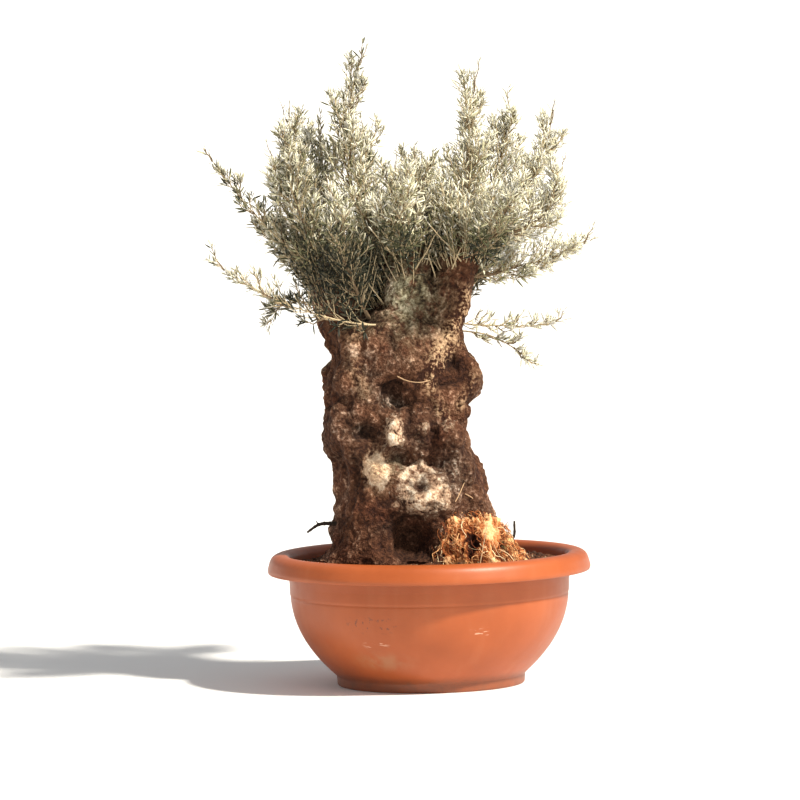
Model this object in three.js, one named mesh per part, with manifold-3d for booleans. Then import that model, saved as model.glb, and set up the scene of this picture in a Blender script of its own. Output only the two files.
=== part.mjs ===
// Olive bonsai in a round terracotta-coloured bowl, at its real size in millimetres, +Z up.
// The origin is the middle of the bowl's flat underside, and -Y is the side that faces the viewer.
// A gnarled trunk stands on the soil and forks into five boughs. Sheaves of leafy shoots grow from
// the boughs' tips, each a solid of its own that keeps to its own space in the crown.
import * as THREE from 'three';
import { mergeVertices } from 'three/addons/utils/BufferGeometryUtils.js';
import Module from 'manifold-3d';

const wasm = await Module();
wasm.setup();

// Driving dimensions
const GAP = 0.35;
const ROUND_SIDES = 32;
const BOWL_RADIUS = 300;
const BOWL_HEIGHT = 245;
const BOWL_WALL = 5;
const BOWL_FLOOR = 10;
const BODY_TOP_RADIUS = 259;
const BODY_TOP_HEIGHT = 190;
const FOOT_RADIUS = 174;
const FOOT_HEIGHT = 20;
const SOIL_LEVEL = 234;
const SOIL_EDGE_DROP = 9;
const FORK_HEIGHT = 656;
const CROWN_OF_TRUNK = 44;
const CLUMP_HEIGHT = 100;
const STEM_RADIUS = 5.2;
const STEM_END_RADIUS = 2.4;
const TWIG_RADIUS = 2.8;
const LEAF_LENGTH = 60;
const LEAF_WIDTH = 14;
const LEAF_THICKNESS = 2.4;

const GOLDEN_ANGLE = Math.PI * (3 - Math.sqrt(5));
const UP = new THREE.Vector3(0, 0, 1);
const ACROSS = new THREE.Vector3(1, 0, 0);
const vec = (p) => new THREE.Vector3(...p);
const mix = (a, b, t) => a + (b - a) * t;

const COLOURS = {
  terracotta: { color: 0xb5633f, roughness: 0.55, metalness: 0 },
  soil: { color: 0x3a271d, roughness: 0.95, metalness: 0 },
  bark: { color: 0x6e5240, roughness: 0.9, metalness: 0 },
  root_fibre: { color: 0x9a6238, roughness: 0.95, metalness: 0 },
  olive_leaf: { color: 0x9c9a78, roughness: 0.6, metalness: 0 },
};

// A seeded draw between 0 and 1: the fraction of a large multiple of a sine.
function draw(seed, index) {
  const s = Math.sin(seed * 127.1 + index * 311.7) * 43758.5453;
  return s - Math.floor(s);
}

// A value between stations of [height, value, value, ...], eased by a smooth cubic through neighbours.
function station(table, height, column) {
  let k = 0;
  while (k < table.length - 2 && height > table[k + 1][0]) k += 1;
  const at = (i) => table[Math.min(Math.max(i, 0), table.length - 1)];
  const [p0, p1, p2, p3] = [at(k - 1), at(k), at(k + 1), at(k + 2)];
  const span = p2[0] - p1[0];
  const t = Math.min(Math.max((height - p1[0]) / span, 0), 1);
  const slope = (a, b) => (b[0] > a[0] ? ((b[column] - a[column]) / (b[0] - a[0])) * span : 0);
  const m1 = slope(p0, p2);
  const m2 = slope(p1, p3);
  const t2 = t * t;
  const t3 = t2 * t;
  return (2 * t3 - 3 * t2 + 1) * p1[column] + (t3 - 2 * t2 + t) * m1
    + (3 * t2 - 2 * t3) * p2[column] + (t3 - t2) * m2;
}

// Solids and meshes

// A closed geometry as a manifold solid.
function solidFrom(geometry) {
  const bare = geometry.clone();
  bare.deleteAttribute('normal');
  bare.deleteAttribute('uv');
  const merged = mergeVertices(bare, 1e-3);
  return new wasm.Manifold(new wasm.Mesh({
    numProp: 3,
    vertProperties: new Float32Array(merged.attributes.position.array),
    triVerts: new Uint32Array(merged.index.array),
  }));
}

// The largest closed body of a solid: loose scraps and sealed hollows are dropped.
function largestBody(solid) {
  const bodies = solid.decompose();
  return bodies.reduce((best, body) => (body.volume() > best.volume() ? body : best));
}

// A solid as a named mesh.
function meshOf(name, solid, finish) {
  const { numVert, numProp, vertProperties, triVerts } = solid.getMesh();
  const position = new Float32Array(numVert * 3);
  for (let i = 0; i < numVert; i += 1) {
    position.set(vertProperties.subarray(i * numProp, i * numProp + 3), i * 3);
  }
  const geometry = new THREE.BufferGeometry();
  geometry.setAttribute('position', new THREE.BufferAttribute(position, 3));
  geometry.setIndex(new THREE.BufferAttribute(new Uint32Array(triVerts), 1));
  geometry.computeVertexNormals();
  const mesh = new THREE.Mesh(geometry, new THREE.MeshStandardMaterial(COLOURS[finish]));
  mesh.name = name;
  return mesh;
}

function middleOf(points) {
  return points.reduce((sum, p) => sum.addScaledVector(p, 1 / points.length), new THREE.Vector3());
}

// A skin over a stack of rings of points, each ring turning anticlockwise seen from its far side.
// A ring may be a single point. An end ring of three points is closed by one face, and a larger
// one by a fan from its middle.
function skinOf(rings) {
  const points = rings.flat();
  const faces = [];
  let start = 0;
  for (let j = 0; j < rings.length - 1; j += 1) {
    const [below, above] = [rings[j].length, rings[j + 1].length];
    const next = start + below;
    for (let i = 0; i < Math.max(below, above); i += 1) {
      const [a, b] = [start + (i % below), start + ((i + 1) % below)];
      const [c, d] = [next + (i % above), next + ((i + 1) % above)];
      if (below > 1) faces.push(a, b, d);
      if (above > 1) faces.push(a, d, c);
    }
    start = next;
  }
  const lids = [[rings[0], 0, false], [rings[rings.length - 1], start, true]];
  for (const [ring, first, forwards] of lids) {
    const around = ring.length;
    const hub = points.length;
    if (around > 3) points.push(middleOf(ring));
    const fans = { 1: [], 3: [[first, first + 1, first + 2]] }[around]
      ?? ring.map((_, i) => [first + i, first + ((i + 1) % around), hub]);
    fans.forEach(([a, b, c]) => faces.push(...(forwards ? [a, b, c] : [b, a, c])));
  }
  const geometry = new THREE.BufferGeometry();
  const position = points.flatMap((p) => [p.x, p.y, p.z]);
  geometry.setAttribute('position', new THREE.Float32BufferAttribute(position, 3));
  geometry.setIndex(faces);
  return geometry;
}

// A limb: rings round a curve, whose radius and small bumps come from radiusAt(share, angle).
function limbSkin(curve, radiusAt, sides, steps) {
  const frames = curve.computeFrenetFrames(steps, false);
  const rings = [];
  for (let j = 0; j <= steps; j += 1) {
    const middle = curve.getPointAt(j / steps);
    const ring = [];
    for (let i = 0; i < sides; i += 1) {
      const angle = (i / sides) * 2 * Math.PI;
      const r = radiusAt(j / steps, angle);
      ring.push(middle.clone()
        .addScaledVector(frames.normals[j], r * Math.cos(angle))
        .addScaledVector(frames.binormals[j], r * Math.sin(angle)));
    }
    rings.push(ring);
  }
  return skinOf(rings);
}

// The bowl: a moulded plastic shell with a rolled rim that is open below, a foot ring and drain holes

// Outer radius of the bowl's body: it swells quickly from the foot and is nearly upright at the top.
function bodyRadius(height) {
  const share = Math.min(Math.max((height - FOOT_HEIGHT) / (BODY_TOP_HEIGHT - FOOT_HEIGHT), 0), 1);
  return mix(FOOT_RADIUS + 3, BODY_TOP_RADIUS, 1 - (1 - share) ** 2.35);
}

function bowl() {
  const hollowHeight = 5;
  const padRadius = 60;
  const ringInside = 152;
  const chamfer = 4;
  const rimBottom = 209;
  const rimTop = BOWL_HEIGHT;
  const profile = [
    [0, 0], [padRadius, 0], [padRadius + chamfer, hollowHeight],
    [ringInside - chamfer, hollowHeight], [ringInside, 0], [FOOT_RADIUS - 2, 0],
    [FOOT_RADIUS, 2], [FOOT_RADIUS + 1, FOOT_HEIGHT - 3],
    ...[20, 34, 58, 92, 138, 190].map((h) => [bodyRadius(h), h]),
    [BODY_TOP_RADIUS + 5, rimTop - 9], [BOWL_RADIUS - 13, rimTop - 10],
    [BOWL_RADIUS - 5, rimBottom], [BOWL_RADIUS - 2, rimBottom], [BOWL_RADIUS, rimBottom + 6],
    [BOWL_RADIUS - 6, rimTop - 8], [BOWL_RADIUS - 16, rimTop - 1], [BOWL_RADIUS - 28, rimTop],
    [BODY_TOP_RADIUS + 3, rimTop - 2], [BODY_TOP_RADIUS - 2, rimTop - 9],
    ...[190, 92, 34].map((h) => [bodyRadius(h) - BOWL_WALL, h]),
    [FOOT_RADIUS - 18, BOWL_FLOOR], [0, BOWL_FLOOR],
  ].map(([r, z]) => new THREE.Vector2(r, z));
  const shell = solidFrom(new THREE.LatheGeometry(profile, ROUND_SIDES).rotateX(Math.PI / 2));
  const holeCount = 5;
  const holeRadius = 8;
  const holeCircle = (padRadius + ringInside) / 2;
  const holes = [];
  for (let k = 0; k < holeCount; k += 1) {
    const drill = new THREE.CylinderGeometry(holeRadius, holeRadius, 4 * BOWL_FLOOR, 6).rotateX(Math.PI / 2);
    drill.translate(holeCircle, 0, BOWL_FLOOR / 2);
    drill.rotateZ((k / holeCount) * 2 * Math.PI);
    holes.push(solidFrom(drill));
  }
  return shell.subtract(wasm.Manifold.union(holes));
}

// The soil fills the bowl to a level bed under the trunk and falls a little towards the wall.
function soil() {
  const inside = BOWL_WALL + 2 * GAP;
  const bedRadius = 216;
  const profile = [
    [0, BOWL_FLOOR + GAP], [FOOT_RADIUS - 19, BOWL_FLOOR + GAP],
    ...[34, 92, 190].map((h) => [bodyRadius(h) - inside, h]),
    [BODY_TOP_RADIUS - inside, SOIL_LEVEL - SOIL_EDGE_DROP],
    [bedRadius, SOIL_LEVEL], [0, SOIL_LEVEL],
  ].map(([r, z]) => new THREE.Vector2(r, z));
  return solidFrom(new THREE.LatheGeometry(profile, ROUND_SIDES).rotateX(Math.PI / 2));
}

// The trunk

// Height, then how far the trunk reaches left, right, to the front and to the back of the bowl's axis.
const TRUNK_REACH = [
  [234, -206, 158, -158, 146],
  [263, -192, 136, -142, 130],
  [300, -183, 124, -132, 120],
  [352, -174, 108, -122, 114],
  [397, -175, 99, -120, 114],
  [441, -194, 80, -124, 118],
  [486, -196, 72, -126, 118],
  [516, -191, 76, -120, 116],
  [555, -188, 98, -118, 116],
  [590, -186, 90, -116, 114],
  [625, -172, 72, -108, 106],
  [656, -183, 66, -102, 106],
];

// Knobs push out and hollows push in: angle in degrees (-90 is the front), height,
// spread round the trunk, spread in height, push. All but the angle are in millimetres.
const TRUNK_KNOBS = [
  [-91, 536, 26, 24, -28],
  [-112, 471, 18, 18, -17],
  [-83, 419, 22, 18, -28],
  [-86, 470, 20, 24, 24],
  [-109, 397, 22, 24, 13],
  [-76, 358, 40, 36, 40],
  [-94, 268, 34, 34, -34],
  [-38, 458, 34, 32, 22],
  [-30, 556, 44, 40, 14],
  [-132, 470, 50, 60, 9],
  [-62, 410, 20, 26, -16],
  [-128, 560, 36, 26, 10],
  [-66, 600, 40, 18, 8],
  [-126, 310, 34, 60, 14],
  [20, 480, 34, 40, -14],
  [38, 380, 44, 46, 18],
  [70, 540, 40, 40, 20],
  [95, 430, 30, 34, -24],
  [120, 500, 44, 44, 18],
  [140, 350, 40, 50, 16],
  [165, 590, 30, 30, 12],
  [168, 420, 30, 40, -10],
  [-160, 360, 30, 40, -8],
  [80, 290, 40, 36, 22],
];

// The turn from one angle to another, between minus and plus half a turn.
function turnBetween(from, to) {
  return THREE.MathUtils.euclideanModulo(to - from + Math.PI, 2 * Math.PI) - Math.PI;
}

// The point on the trunk's bark at an angle and height, grown outwards by clear.
function trunkPoint(angle, height, clear, shrink = 1) {
  const h = Math.min(height, FORK_HEIGHT);
  const [left, right, front, back] = [1, 2, 3, 4].map((column) => station(TRUNK_REACH, h, column));
  const middle = [(left + right) / 2, (front + back) / 2];
  const half = [(right - left) / 2, (back - front) / 2];
  const power = 2.4;
  const plan = ((Math.abs(Math.cos(angle)) / half[0]) ** power
    + (Math.abs(Math.sin(angle)) / half[1]) ** power) ** (-1 / power);
  const foot = Math.exp(-(h - SOIL_LEVEL) / 60);
  const flutes = (2.5 + 7 * foot) * Math.sin(5 * angle + h / 70) + 3 * Math.sin(9 * angle - h / 45);
  let push = flutes;
  for (const [degrees, level, round, rise, out] of TRUNK_KNOBS) {
    const sideways = (turnBetween(THREE.MathUtils.degToRad(degrees), angle) * plan) / round;
    const upwards = (h - level) / rise;
    push += out * Math.exp(-(sideways ** 2) - upwards ** 2);
  }
  const r = (plan + push) * shrink + clear;
  return new THREE.Vector3(middle[0] + r * Math.cos(angle), middle[1] + r * Math.sin(angle), height);
}

function trunk(clear = 0) {
  const around = 40;
  const rows = 24;
  const domeRows = 4;
  const top = FORK_HEIGHT + CROWN_OF_TRUNK + clear;
  const foot = SOIL_LEVEL + GAP;
  const rings = [];
  const ringAt = (height, shrink) => Array.from({ length: around },
    (_, i) => trunkPoint((i / around) * 2 * Math.PI, height, clear, shrink));
  for (let j = 0; j <= rows; j += 1) rings.push(ringAt(mix(foot, FORK_HEIGHT, j / rows), 1));
  if (clear) rings.unshift(rings[0].map((p) => p.clone().setZ(foot - 2 * clear)));
  for (let j = 1; j < domeRows; j += 1) {
    const lift = (j / domeRows) * (Math.PI / 2);
    rings.push(ringAt(mix(FORK_HEIGHT, top, Math.sin(lift)), Math.cos(lift)));
  }
  rings.push([trunkPoint(0, top, 0, 0)]);
  return solidFrom(skinOf(rings));
}

// The old root clump: a lumpy mound of fibres that leans back against the trunk's foot.
function rootClump() {
  const around = 18;
  const rows = 7;
  const middle = [84, -102];
  const half = [82, 70];
  const lean = [-36, 36];
  const rings = [];
  for (let j = 0; j < rows; j += 1) {
    const lift = (j / (rows - 0.5)) * (Math.PI / 2);
    const width = Math.cos(lift) ** 0.9;
    rings.push(Array.from({ length: around }, (_, i) => {
      const angle = (i / around) * 2 * Math.PI;
      const lumps = 1 + 0.1 * Math.sin(4 * angle + 3 * lift) + 0.07 * Math.sin(7 * angle - 5 * lift);
      return new THREE.Vector3(
        middle[0] + half[0] * lumps * width * Math.cos(angle) + lean[0] * Math.sin(lift),
        middle[1] + half[1] * lumps * width * Math.sin(angle) + lean[1] * Math.sin(lift),
        SOIL_LEVEL + GAP + CLUMP_HEIGHT * Math.sin(lift),
      );
    }));
  }
  return solidFrom(skinOf(rings));
}

// The boughs: start, middle and tip of each limb, and its radius at the start and tip.
const BOUGHS = {
  bough_left: { path: [[-118, 0, 600], [-158, -8, 690], [-170, -12, 776]], radii: [54, 30] },
  bough_centre: { path: [[-32, -22, 606], [-24, -16, 712], [-30, -8, 816]], radii: [66, 38] },
  bough_right: { path: [[4, -22, 594], [47, -30, 712], [86, -30, 850]], radii: [44, 33] },
  bough_back_left: { path: [[-104, 34, 610], [-132, 78, 700], [-148, 118, 774]], radii: [54, 28] },
  bough_back_right: { path: [[-4, 40, 610], [22, 84, 700], [42, 124, 778]], radii: [52, 28] },
};

// Small dead twigs at the trunk's foot.
const DEAD_TWIGS = {
  dead_twig_left: { path: [[-168, -30, 302], [-200, -36, 302], [-224, -44, 288]], radii: [4, 2] },
  dead_twig_right: { path: [[120, 20, 262], [156, 8, 266], [160, 4, 298]], radii: [3.6, 1.8] },
};

function boughSolid({ path, radii }, clear = 0) {
  const curve = new THREE.CatmullRomCurve3(path.map(vec));
  const radiusAt = (share, angle) => {
    const lumps = 1 + 0.07 * Math.sin(3 * angle + 5 * share) + 0.04 * Math.sin(5 * angle - 7 * share);
    const rounded = Math.sqrt(1 - Math.max(0, (share - 0.86) / 0.16) ** 2);
    return mix(radii[0], radii[1], share ** 0.8) * lumps * rounded + clear;
  };
  return solidFrom(limbSkin(curve, radiusAt, 10, 8));
}

function twigSolid({ path, radii }) {
  const curve = new THREE.CatmullRomCurve3(path.map(vec));
  return solidFrom(limbSkin(curve, (share) => mix(radii[0], radii[1], share), 5, 5));
}

// The foliage. Each mass has a stem, which leaves its limb at a root given from that limb's tip,
// runs through a middle point and ends in a leaf at its own tip. Then come the reach of its twigs,
// which is how far they spread, and how many there are.
const mass = (limb, root, through, tip, reach, twigs) => ({ limb, root, through, tip, reach, twigs });
const TRUNK_TIP = [-66, 0, 690];
const MASSES = {
  left_whip: mass('bough_left', [-18, -2, -22], [-300, -50, 868], [-400, -70, 1000], 46, 7),
  left_outer: mass('bough_left', [-14, 14, -22], [-246, 40, 868], [-262, 26, 975], 80, 6),
  left_front: mass('bough_left', [-10, -12, -20], [-232, -74, 910], [-240, -56, 1075], 80, 8),
  left_inner: mass('bough_left', [6, 10, -20], [-180, 40, 900], [-190, 34, 1045], 76, 6),
  left_droop: mass('trunk', [-100, -30, -4], [-246, -92, 716], [-286, -90, 666], 40, 5),
  left_spray: mass('trunk', [-11, -80, -20], [-235, -172, 708], [-393, -150, 800], 62, 8),
  front_left: mass('trunk', [-38, -62, -4], [-146, -168, 800], [-164, -196, 920], 84, 7),
  front_centre: mass('bough_centre', [-6, -22, -30], [-46, -158, 858], [-52, -184, 946], 84, 7),
  centre_tall: mass('bough_centre', [-18, -6, -20], [-138, -34, 970], [-94, -20, 1186], 84, 9),
  centre_front: mass('bough_centre', [6, -14, -20], [-22, -76, 884], [-14, -66, 962], 84, 6),
  centre_back: mass('bough_centre', [6, 16, -20], [-6, 66, 872], [6, 72, 955], 84, 6),
  right_tall: mass('bough_right', [-4, -6, -20], [88, -40, 976], [100, -26, 1124], 80, 8),
  right_back: mass('bough_right', [4, 14, -20], [142, 62, 946], [160, 58, 1068], 78, 6),
  right_outer: mass('bough_right', [14, 2, -22], [198, -4, 926], [242, -10, 1054], 76, 7),
  right_side: mass('bough_right', [12, -10, -16], [214, -70, 856], [250, -60, 956], 74, 7),
  right_low: mass('bough_right', [-6, 0, -96], [196, -34, 774], [318, -40, 822], 66, 7),
  right_front: mass('bough_right', [0, -16, -52], [132, -150, 840], [166, -186, 944], 86, 7),
  right_sprig: mass('trunk', [104, -24, -16], [158, -58, 662], [264, -60, 674], 40, 6),
  right_sprig_low: mass('trunk', [104, -4, -34], [139, -30, 636], [201, -30, 582], 34, 5),
  back_left: mass('bough_back_left', [-8, 4, -20], [-218, 166, 896], [-226, 172, 1028], 82, 6),
  back_centre: mass('bough_back_left', [8, 6, -20], [-106, 184, 902], [-112, 184, 1050], 86, 6),
  back_right: mass('bough_back_right', [-4, 6, -20], [66, 190, 892], [110, 190, 1012], 84, 6),
  back_outer: mass('bough_back_right', [12, 2, -22], [164, 156, 872], [204, 154, 968], 80, 6),
  back_low_left: mass('bough_back_left', [-8, -8, -34], [-244, 150, 790], [-304, 150, 862], 70, 6),
  back_low: mass('bough_back_left', [14, 2, -36], [-66, 228, 806], [-54, 276, 900], 84, 6),
  back_low_right: mass('bough_back_right', [14, 0, -40], [140, 216, 786], [200, 256, 872], 76, 6),
};

const limbTip = (name) => (name === 'trunk' ? TRUNK_TIP : BOUGHS[name].path[2]);

// The stem's curve: a quadratic arc from its root through its middle point to its tip.
function stemCurve({ limb, root, through, tip }) {
  const start = limbTip(limb).map((x, k) => x + root[k]);
  const control = through.map((x, k) => 2 * x - (start[k] + tip[k]) / 2);
  return new THREE.QuadraticBezierCurve3(vec(start), vec(control), vec(tip));
}

const STEMS = Object.values(MASSES).map(stemCurve);
const REACHES = Object.values(MASSES).map((foliage) => foliage.reach);
const STEM_SAMPLES = STEMS.map((stem) => stem.getPoints(20));

// Each mass's own space is where its stem, less a third of its reach, is the nearest of all stems.
function inOwnSpace(point, index) {
  const margin = 4;
  const stemRoom = 10;
  const away = STEM_SAMPLES.map((samples) => Math.min(...samples.map((p) => p.distanceTo(point))));
  const own = away[index] - REACHES[index] / 3;
  return away.every((distance, other) => other === index
    || (distance > stemRoom && distance - REACHES[other] / 3 > own + margin));
}

// The limbs' centrelines with their radii, to keep leaves clear of the bark.
const LIMB_SAMPLES = Object.values(BOUGHS).flatMap(({ path, radii }) => {
  const curve = new THREE.CatmullRomCurve3(path.map(vec));
  return curve.getPoints(10).map((p, k) => [p, mix(radii[0], radii[1], (k / 10) ** 0.8) * 1.12]);
});

function clearOfLimbs(point) {
  const room = 3;
  if (LIMB_SAMPLES.some(([p, r]) => p.distanceTo(point) < r + room)) return false;
  if (point.z > FORK_HEIGHT + CROWN_OF_TRUNK + room) return true;
  const h = Math.max(Math.min(point.z, FORK_HEIGHT), SOIL_LEVEL);
  const middle = (station(TRUNK_REACH, h, 1) + station(TRUNK_REACH, h, 2)) / 2;
  const angle = Math.atan2(point.y, point.x - middle);
  const bark = trunkPoint(angle, h, room);
  return Math.hypot(point.x - middle, point.y) > Math.hypot(bark.x - middle, bark.y);
}

const fits = (points, index) => points.every((p) => inOwnSpace(p, index) && clearOfLimbs(p));

// Two directions square to a line and to each other.
function squareTo(along) {
  const steep = Math.abs(along.z) > 0.9;
  const side = new THREE.Vector3().crossVectors(along, steep ? ACROSS : UP).normalize();
  return [side, new THREE.Vector3().crossVectors(along, side)];
}

// A direction that leaves a line at an angle, turned round it.
function leaning(along, turn, spread) {
  const [side, over] = squareTo(along);
  const outwards = side.multiplyScalar(Math.cos(turn)).addScaledVector(over, Math.sin(turn));
  return along.clone().multiplyScalar(Math.cos(spread)).addScaledVector(outwards, Math.sin(spread));
}

// Twig number i of a stem. Twigs leave in turn by the golden angle, shorter and steeper towards the
// stem's tip, so that each mass narrows to a spire, and bend up to the light. Each further attempt
// turns the twig on and makes it shorter.
function twigCurve(stem, { reach, twigs }, seed, i, attempt) {
  const share = mix(0.18, 0.92, (i + 0.5 * draw(seed, i)) / (twigs - 0.5));
  const turn = (i + 3.3 * attempt) * GOLDEN_ANGLE + seed;
  const spread = THREE.MathUtils.degToRad(mix(46, 24, share) + mix(-7, 7, draw(seed, i + 40)));
  const taper = mix(1.08, 0.44, share);
  const length = reach * 1.3 * taper * mix(0.85, 1.15, draw(seed, i + 80)) * 0.9 ** attempt;
  const from = stem.getPoint(share);
  const heading = leaning(stem.getTangent(share), turn, spread);
  const knee = from.clone().addScaledVector(heading, length * 0.5);
  const tip = knee.clone().addScaledVector(heading, length * 0.28).addScaledVector(UP, length * 0.27);
  return new THREE.QuadraticBezierCurve3(from, knee, tip);
}

// The three ridges of a slim limb, as angles round it.
const RIDGES = [90, 210, 330].map(THREE.MathUtils.degToRad);

// The rings of a slim limb of three sides along a curve, whose last stretch is a keeled leaf.
// Girths hold the share of the bare stretch and the radius there. A radius of zero is a point.
function leafyRings(curve, girths, leafLength) {
  const leafShare = leafLength / curve.getLength();
  const ring = (share, radii) => {
    const [side, over] = squareTo(curve.getTangentAt(share));
    return radii.map((r, i) => curve.getPointAt(share)
      .addScaledVector(side, r * Math.cos(RIDGES[i]))
      .addScaledVector(over, r * Math.sin(RIDGES[i])));
  };
  const edge = LEAF_WIDTH / Math.sqrt(3);
  return [
    ...girths.map(([share, r]) => ring((1 - leafShare) * share, r > 0 ? [r, r, r] : [0])),
    ring(1 - 0.52 * leafShare, [LEAF_THICKNESS, edge, edge]),
    [curve.getPointAt(1)],
  ];
}

// The rings of a side leaf: its root, sunk past the twig's middle, its keeled section and its tip.
function leafRings(root, along, turn, length) {
  const sink = 0.85 * TWIG_RADIUS;
  const widest = 0.48 * length;
  const heading = leaning(along, turn, THREE.MathUtils.degToRad(38));
  const across = new THREE.Vector3().crossVectors(heading, along).normalize();
  const under = new THREE.Vector3().crossVectors(heading, across);
  const at = (ahead, aside, below) => root.clone().addScaledVector(heading, ahead)
    .addScaledVector(across, aside).addScaledVector(under, below);
  return [
    [at(-sink, 0, 0)],
    [at(widest, LEAF_WIDTH / 2, 0), at(widest, 0, LEAF_THICKNESS), at(widest, -LEAF_WIDTH / 2, 0)],
    [at(length, 0, 0)],
  ];
}

// The skins of twig number i: the twig with the leaf at its end, and two side leaves. A twig that
// would leave its mass's space or touch a limb is tried again a few times and then skipped, and a
// side leaf that would is skipped at once.
function sprigSkins(foliage, index, i) {
  const attempts = 6;
  const seed = index + 1;
  const girths = [[0, 0], [0.3, TWIG_RADIUS], [1, 0.8 * TWIG_RADIUS]];
  const leafLength = LEAF_LENGTH * mix(0.85, 1.05, draw(seed, i + 120));
  for (let attempt = 0; attempt < attempts; attempt += 1) {
    const twig = twigCurve(STEMS[index], foliage, seed, i, attempt);
    const bare = Math.max(1 - leafLength / twig.getLength(), 0.35);
    const rings = leafyRings(twig, girths, (1 - bare) * twig.getLength());
    if (fits(rings.slice(1).flat(), index)) {
      const leaves = [0.5, 0.85].map((share, k) => leafRings(
        twig.getPointAt(bare * share),
        twig.getTangentAt(bare * share),
        RIDGES[(i + k) % 3] - Math.PI / 3,
        leafLength,
      ));
      return [rings, ...leaves.filter((leaf) => fits(leaf.slice(1).flat(), index))];
    }
  }
  return [];
}

// One mass: its stem, its twigs and their leaves, fused into one solid. Edges shorter than the
// finest detail are closed up.
function massSolid(foliage, index) {
  const steps = 5;
  const finest = 0.2;
  const girths = Array.from({ length: steps + 1 },
    (_, k) => [k / steps, mix(STEM_RADIUS, STEM_END_RADIUS, k / steps)]);
  const skins = [leafyRings(STEMS[index], girths, LEAF_LENGTH * 0.8)];
  for (let i = 0; i < foliage.twigs; i += 1) skins.push(...sprigSkins(foliage, index, i));
  const fused = wasm.Manifold.union(skins.map((rings) => solidFrom(skinOf(rings))));
  return fused.asOriginal().simplify(finest);
}

// Assembly: later limbs are cut clear of earlier ones, and every stem is cut clear of all limbs.
const group = new THREE.Group();
group.name = 'olive_bonsai';
group.add(meshOf('bowl', bowl(), 'terracotta'));
group.add(meshOf('soil', soil(), 'soil'));
group.add(meshOf('trunk', trunk(), 'bark'));

const grownLimbs = [trunk(GAP)];
group.add(meshOf('root_clump', largestBody(rootClump().subtract(grownLimbs[0])), 'root_fibre'));
for (const [name, bough] of Object.entries(BOUGHS)) {
  const free = boughSolid(bough).subtract(wasm.Manifold.union(grownLimbs));
  group.add(meshOf(name, largestBody(free), 'bark'));
  grownLimbs.push(boughSolid(bough, GAP));
}
const allLimbs = wasm.Manifold.union(grownLimbs);
for (const [name, twig] of Object.entries(DEAD_TWIGS)) {
  group.add(meshOf(name, largestBody(twigSolid(twig).subtract(allLimbs)), 'bark'));
}
Object.entries(MASSES).forEach(([name, foliage], index) => {
  const free = massSolid(foliage, index).subtract(allLimbs);
  group.add(meshOf(name, largestBody(free), 'olive_leaf'));
});

export default group;
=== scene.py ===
# Olive bonsai in a round terracotta-coloured bowl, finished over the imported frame.
# Lengths here are millimetres in the part's own frame, and become metres when a piece is made.
# +Z is up, and -Y is the side that faces the camera.
import itertools
import math

import bpy
import numpy as np
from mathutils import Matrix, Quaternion, Vector
from mathutils.bvhtree import BVHTree


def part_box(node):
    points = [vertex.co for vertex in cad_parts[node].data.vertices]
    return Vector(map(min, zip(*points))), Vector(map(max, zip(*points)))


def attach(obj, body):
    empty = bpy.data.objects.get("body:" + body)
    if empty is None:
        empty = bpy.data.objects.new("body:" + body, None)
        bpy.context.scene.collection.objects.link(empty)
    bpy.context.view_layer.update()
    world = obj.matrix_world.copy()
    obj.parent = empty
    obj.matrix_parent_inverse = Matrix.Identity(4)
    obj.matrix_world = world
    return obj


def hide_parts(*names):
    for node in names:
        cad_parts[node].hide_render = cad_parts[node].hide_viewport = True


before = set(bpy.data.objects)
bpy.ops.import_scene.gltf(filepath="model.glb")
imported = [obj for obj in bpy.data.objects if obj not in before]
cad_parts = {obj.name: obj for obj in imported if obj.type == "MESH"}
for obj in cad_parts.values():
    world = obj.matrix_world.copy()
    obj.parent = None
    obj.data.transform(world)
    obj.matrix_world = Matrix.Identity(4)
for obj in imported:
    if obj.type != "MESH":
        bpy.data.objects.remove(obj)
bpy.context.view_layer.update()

MM = 0.001
GOLDEN_ANGLE = math.pi * (3 - math.sqrt(5))
UP = np.array([0.0, 0.0, 1.0])
ACROSS = np.array([1.0, 0.0, 0.0])

# The bowl and the soil in it
BOWL_RADIUS = 300
BOWL_HEIGHT = 245
BOWL_WALL = 5
BOWL_FLOOR = 10
BODY_TOP_RADIUS = 259
BODY_TOP_HEIGHT = 190
FOOT_RADIUS = 174
FOOT_HEIGHT = 20
DRAINS = 5
DRAIN_RADIUS = 8
DRAIN_CIRCLE = 106
SOIL_LEVEL = 234
SOIL_EDGE_DROP = 9

# The trunk and the foliage
FORK_HEIGHT = 656
CROWN_OF_TRUNK = 44
STEM_RADIUS = 3.6
THIN_STEM_RADIUS = 1.8
TWIG_RADIUS = 1.9
SHOOT_RADIUS = 1.0
FINEST_RADIUS = 0.9
BARE_SHOOT_RADIUS = 1.5
LEAF_LENGTH = 23
LEAF_WIDTH = 4.3
PAIR_SPACING = 12


# Camera, light and floor

PHOTO_PIXELS = 800
PIXEL = 1.852
FOOT_PIXEL = (431.3, 683.5)
ELEVATION = math.radians(3.35)
ROLL = math.radians(1.08)
CAMERA_DISTANCE = 9000
CAMERA_REACH = 1500e3
SENSOR = 36

# The floor is level round the bowl and rises gently far behind it, so that the view has no horizon.
FLOOR_HALF = 600e3
FLOOR_LEVEL_UNTIL = 30e3
FLOOR_RISE = 60e3


def placed(name, data):
    """A new object in the scene, at the origin and unturned."""
    made = bpy.data.objects.new(name, data)
    bpy.context.scene.collection.objects.link(made)
    return made


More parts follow.
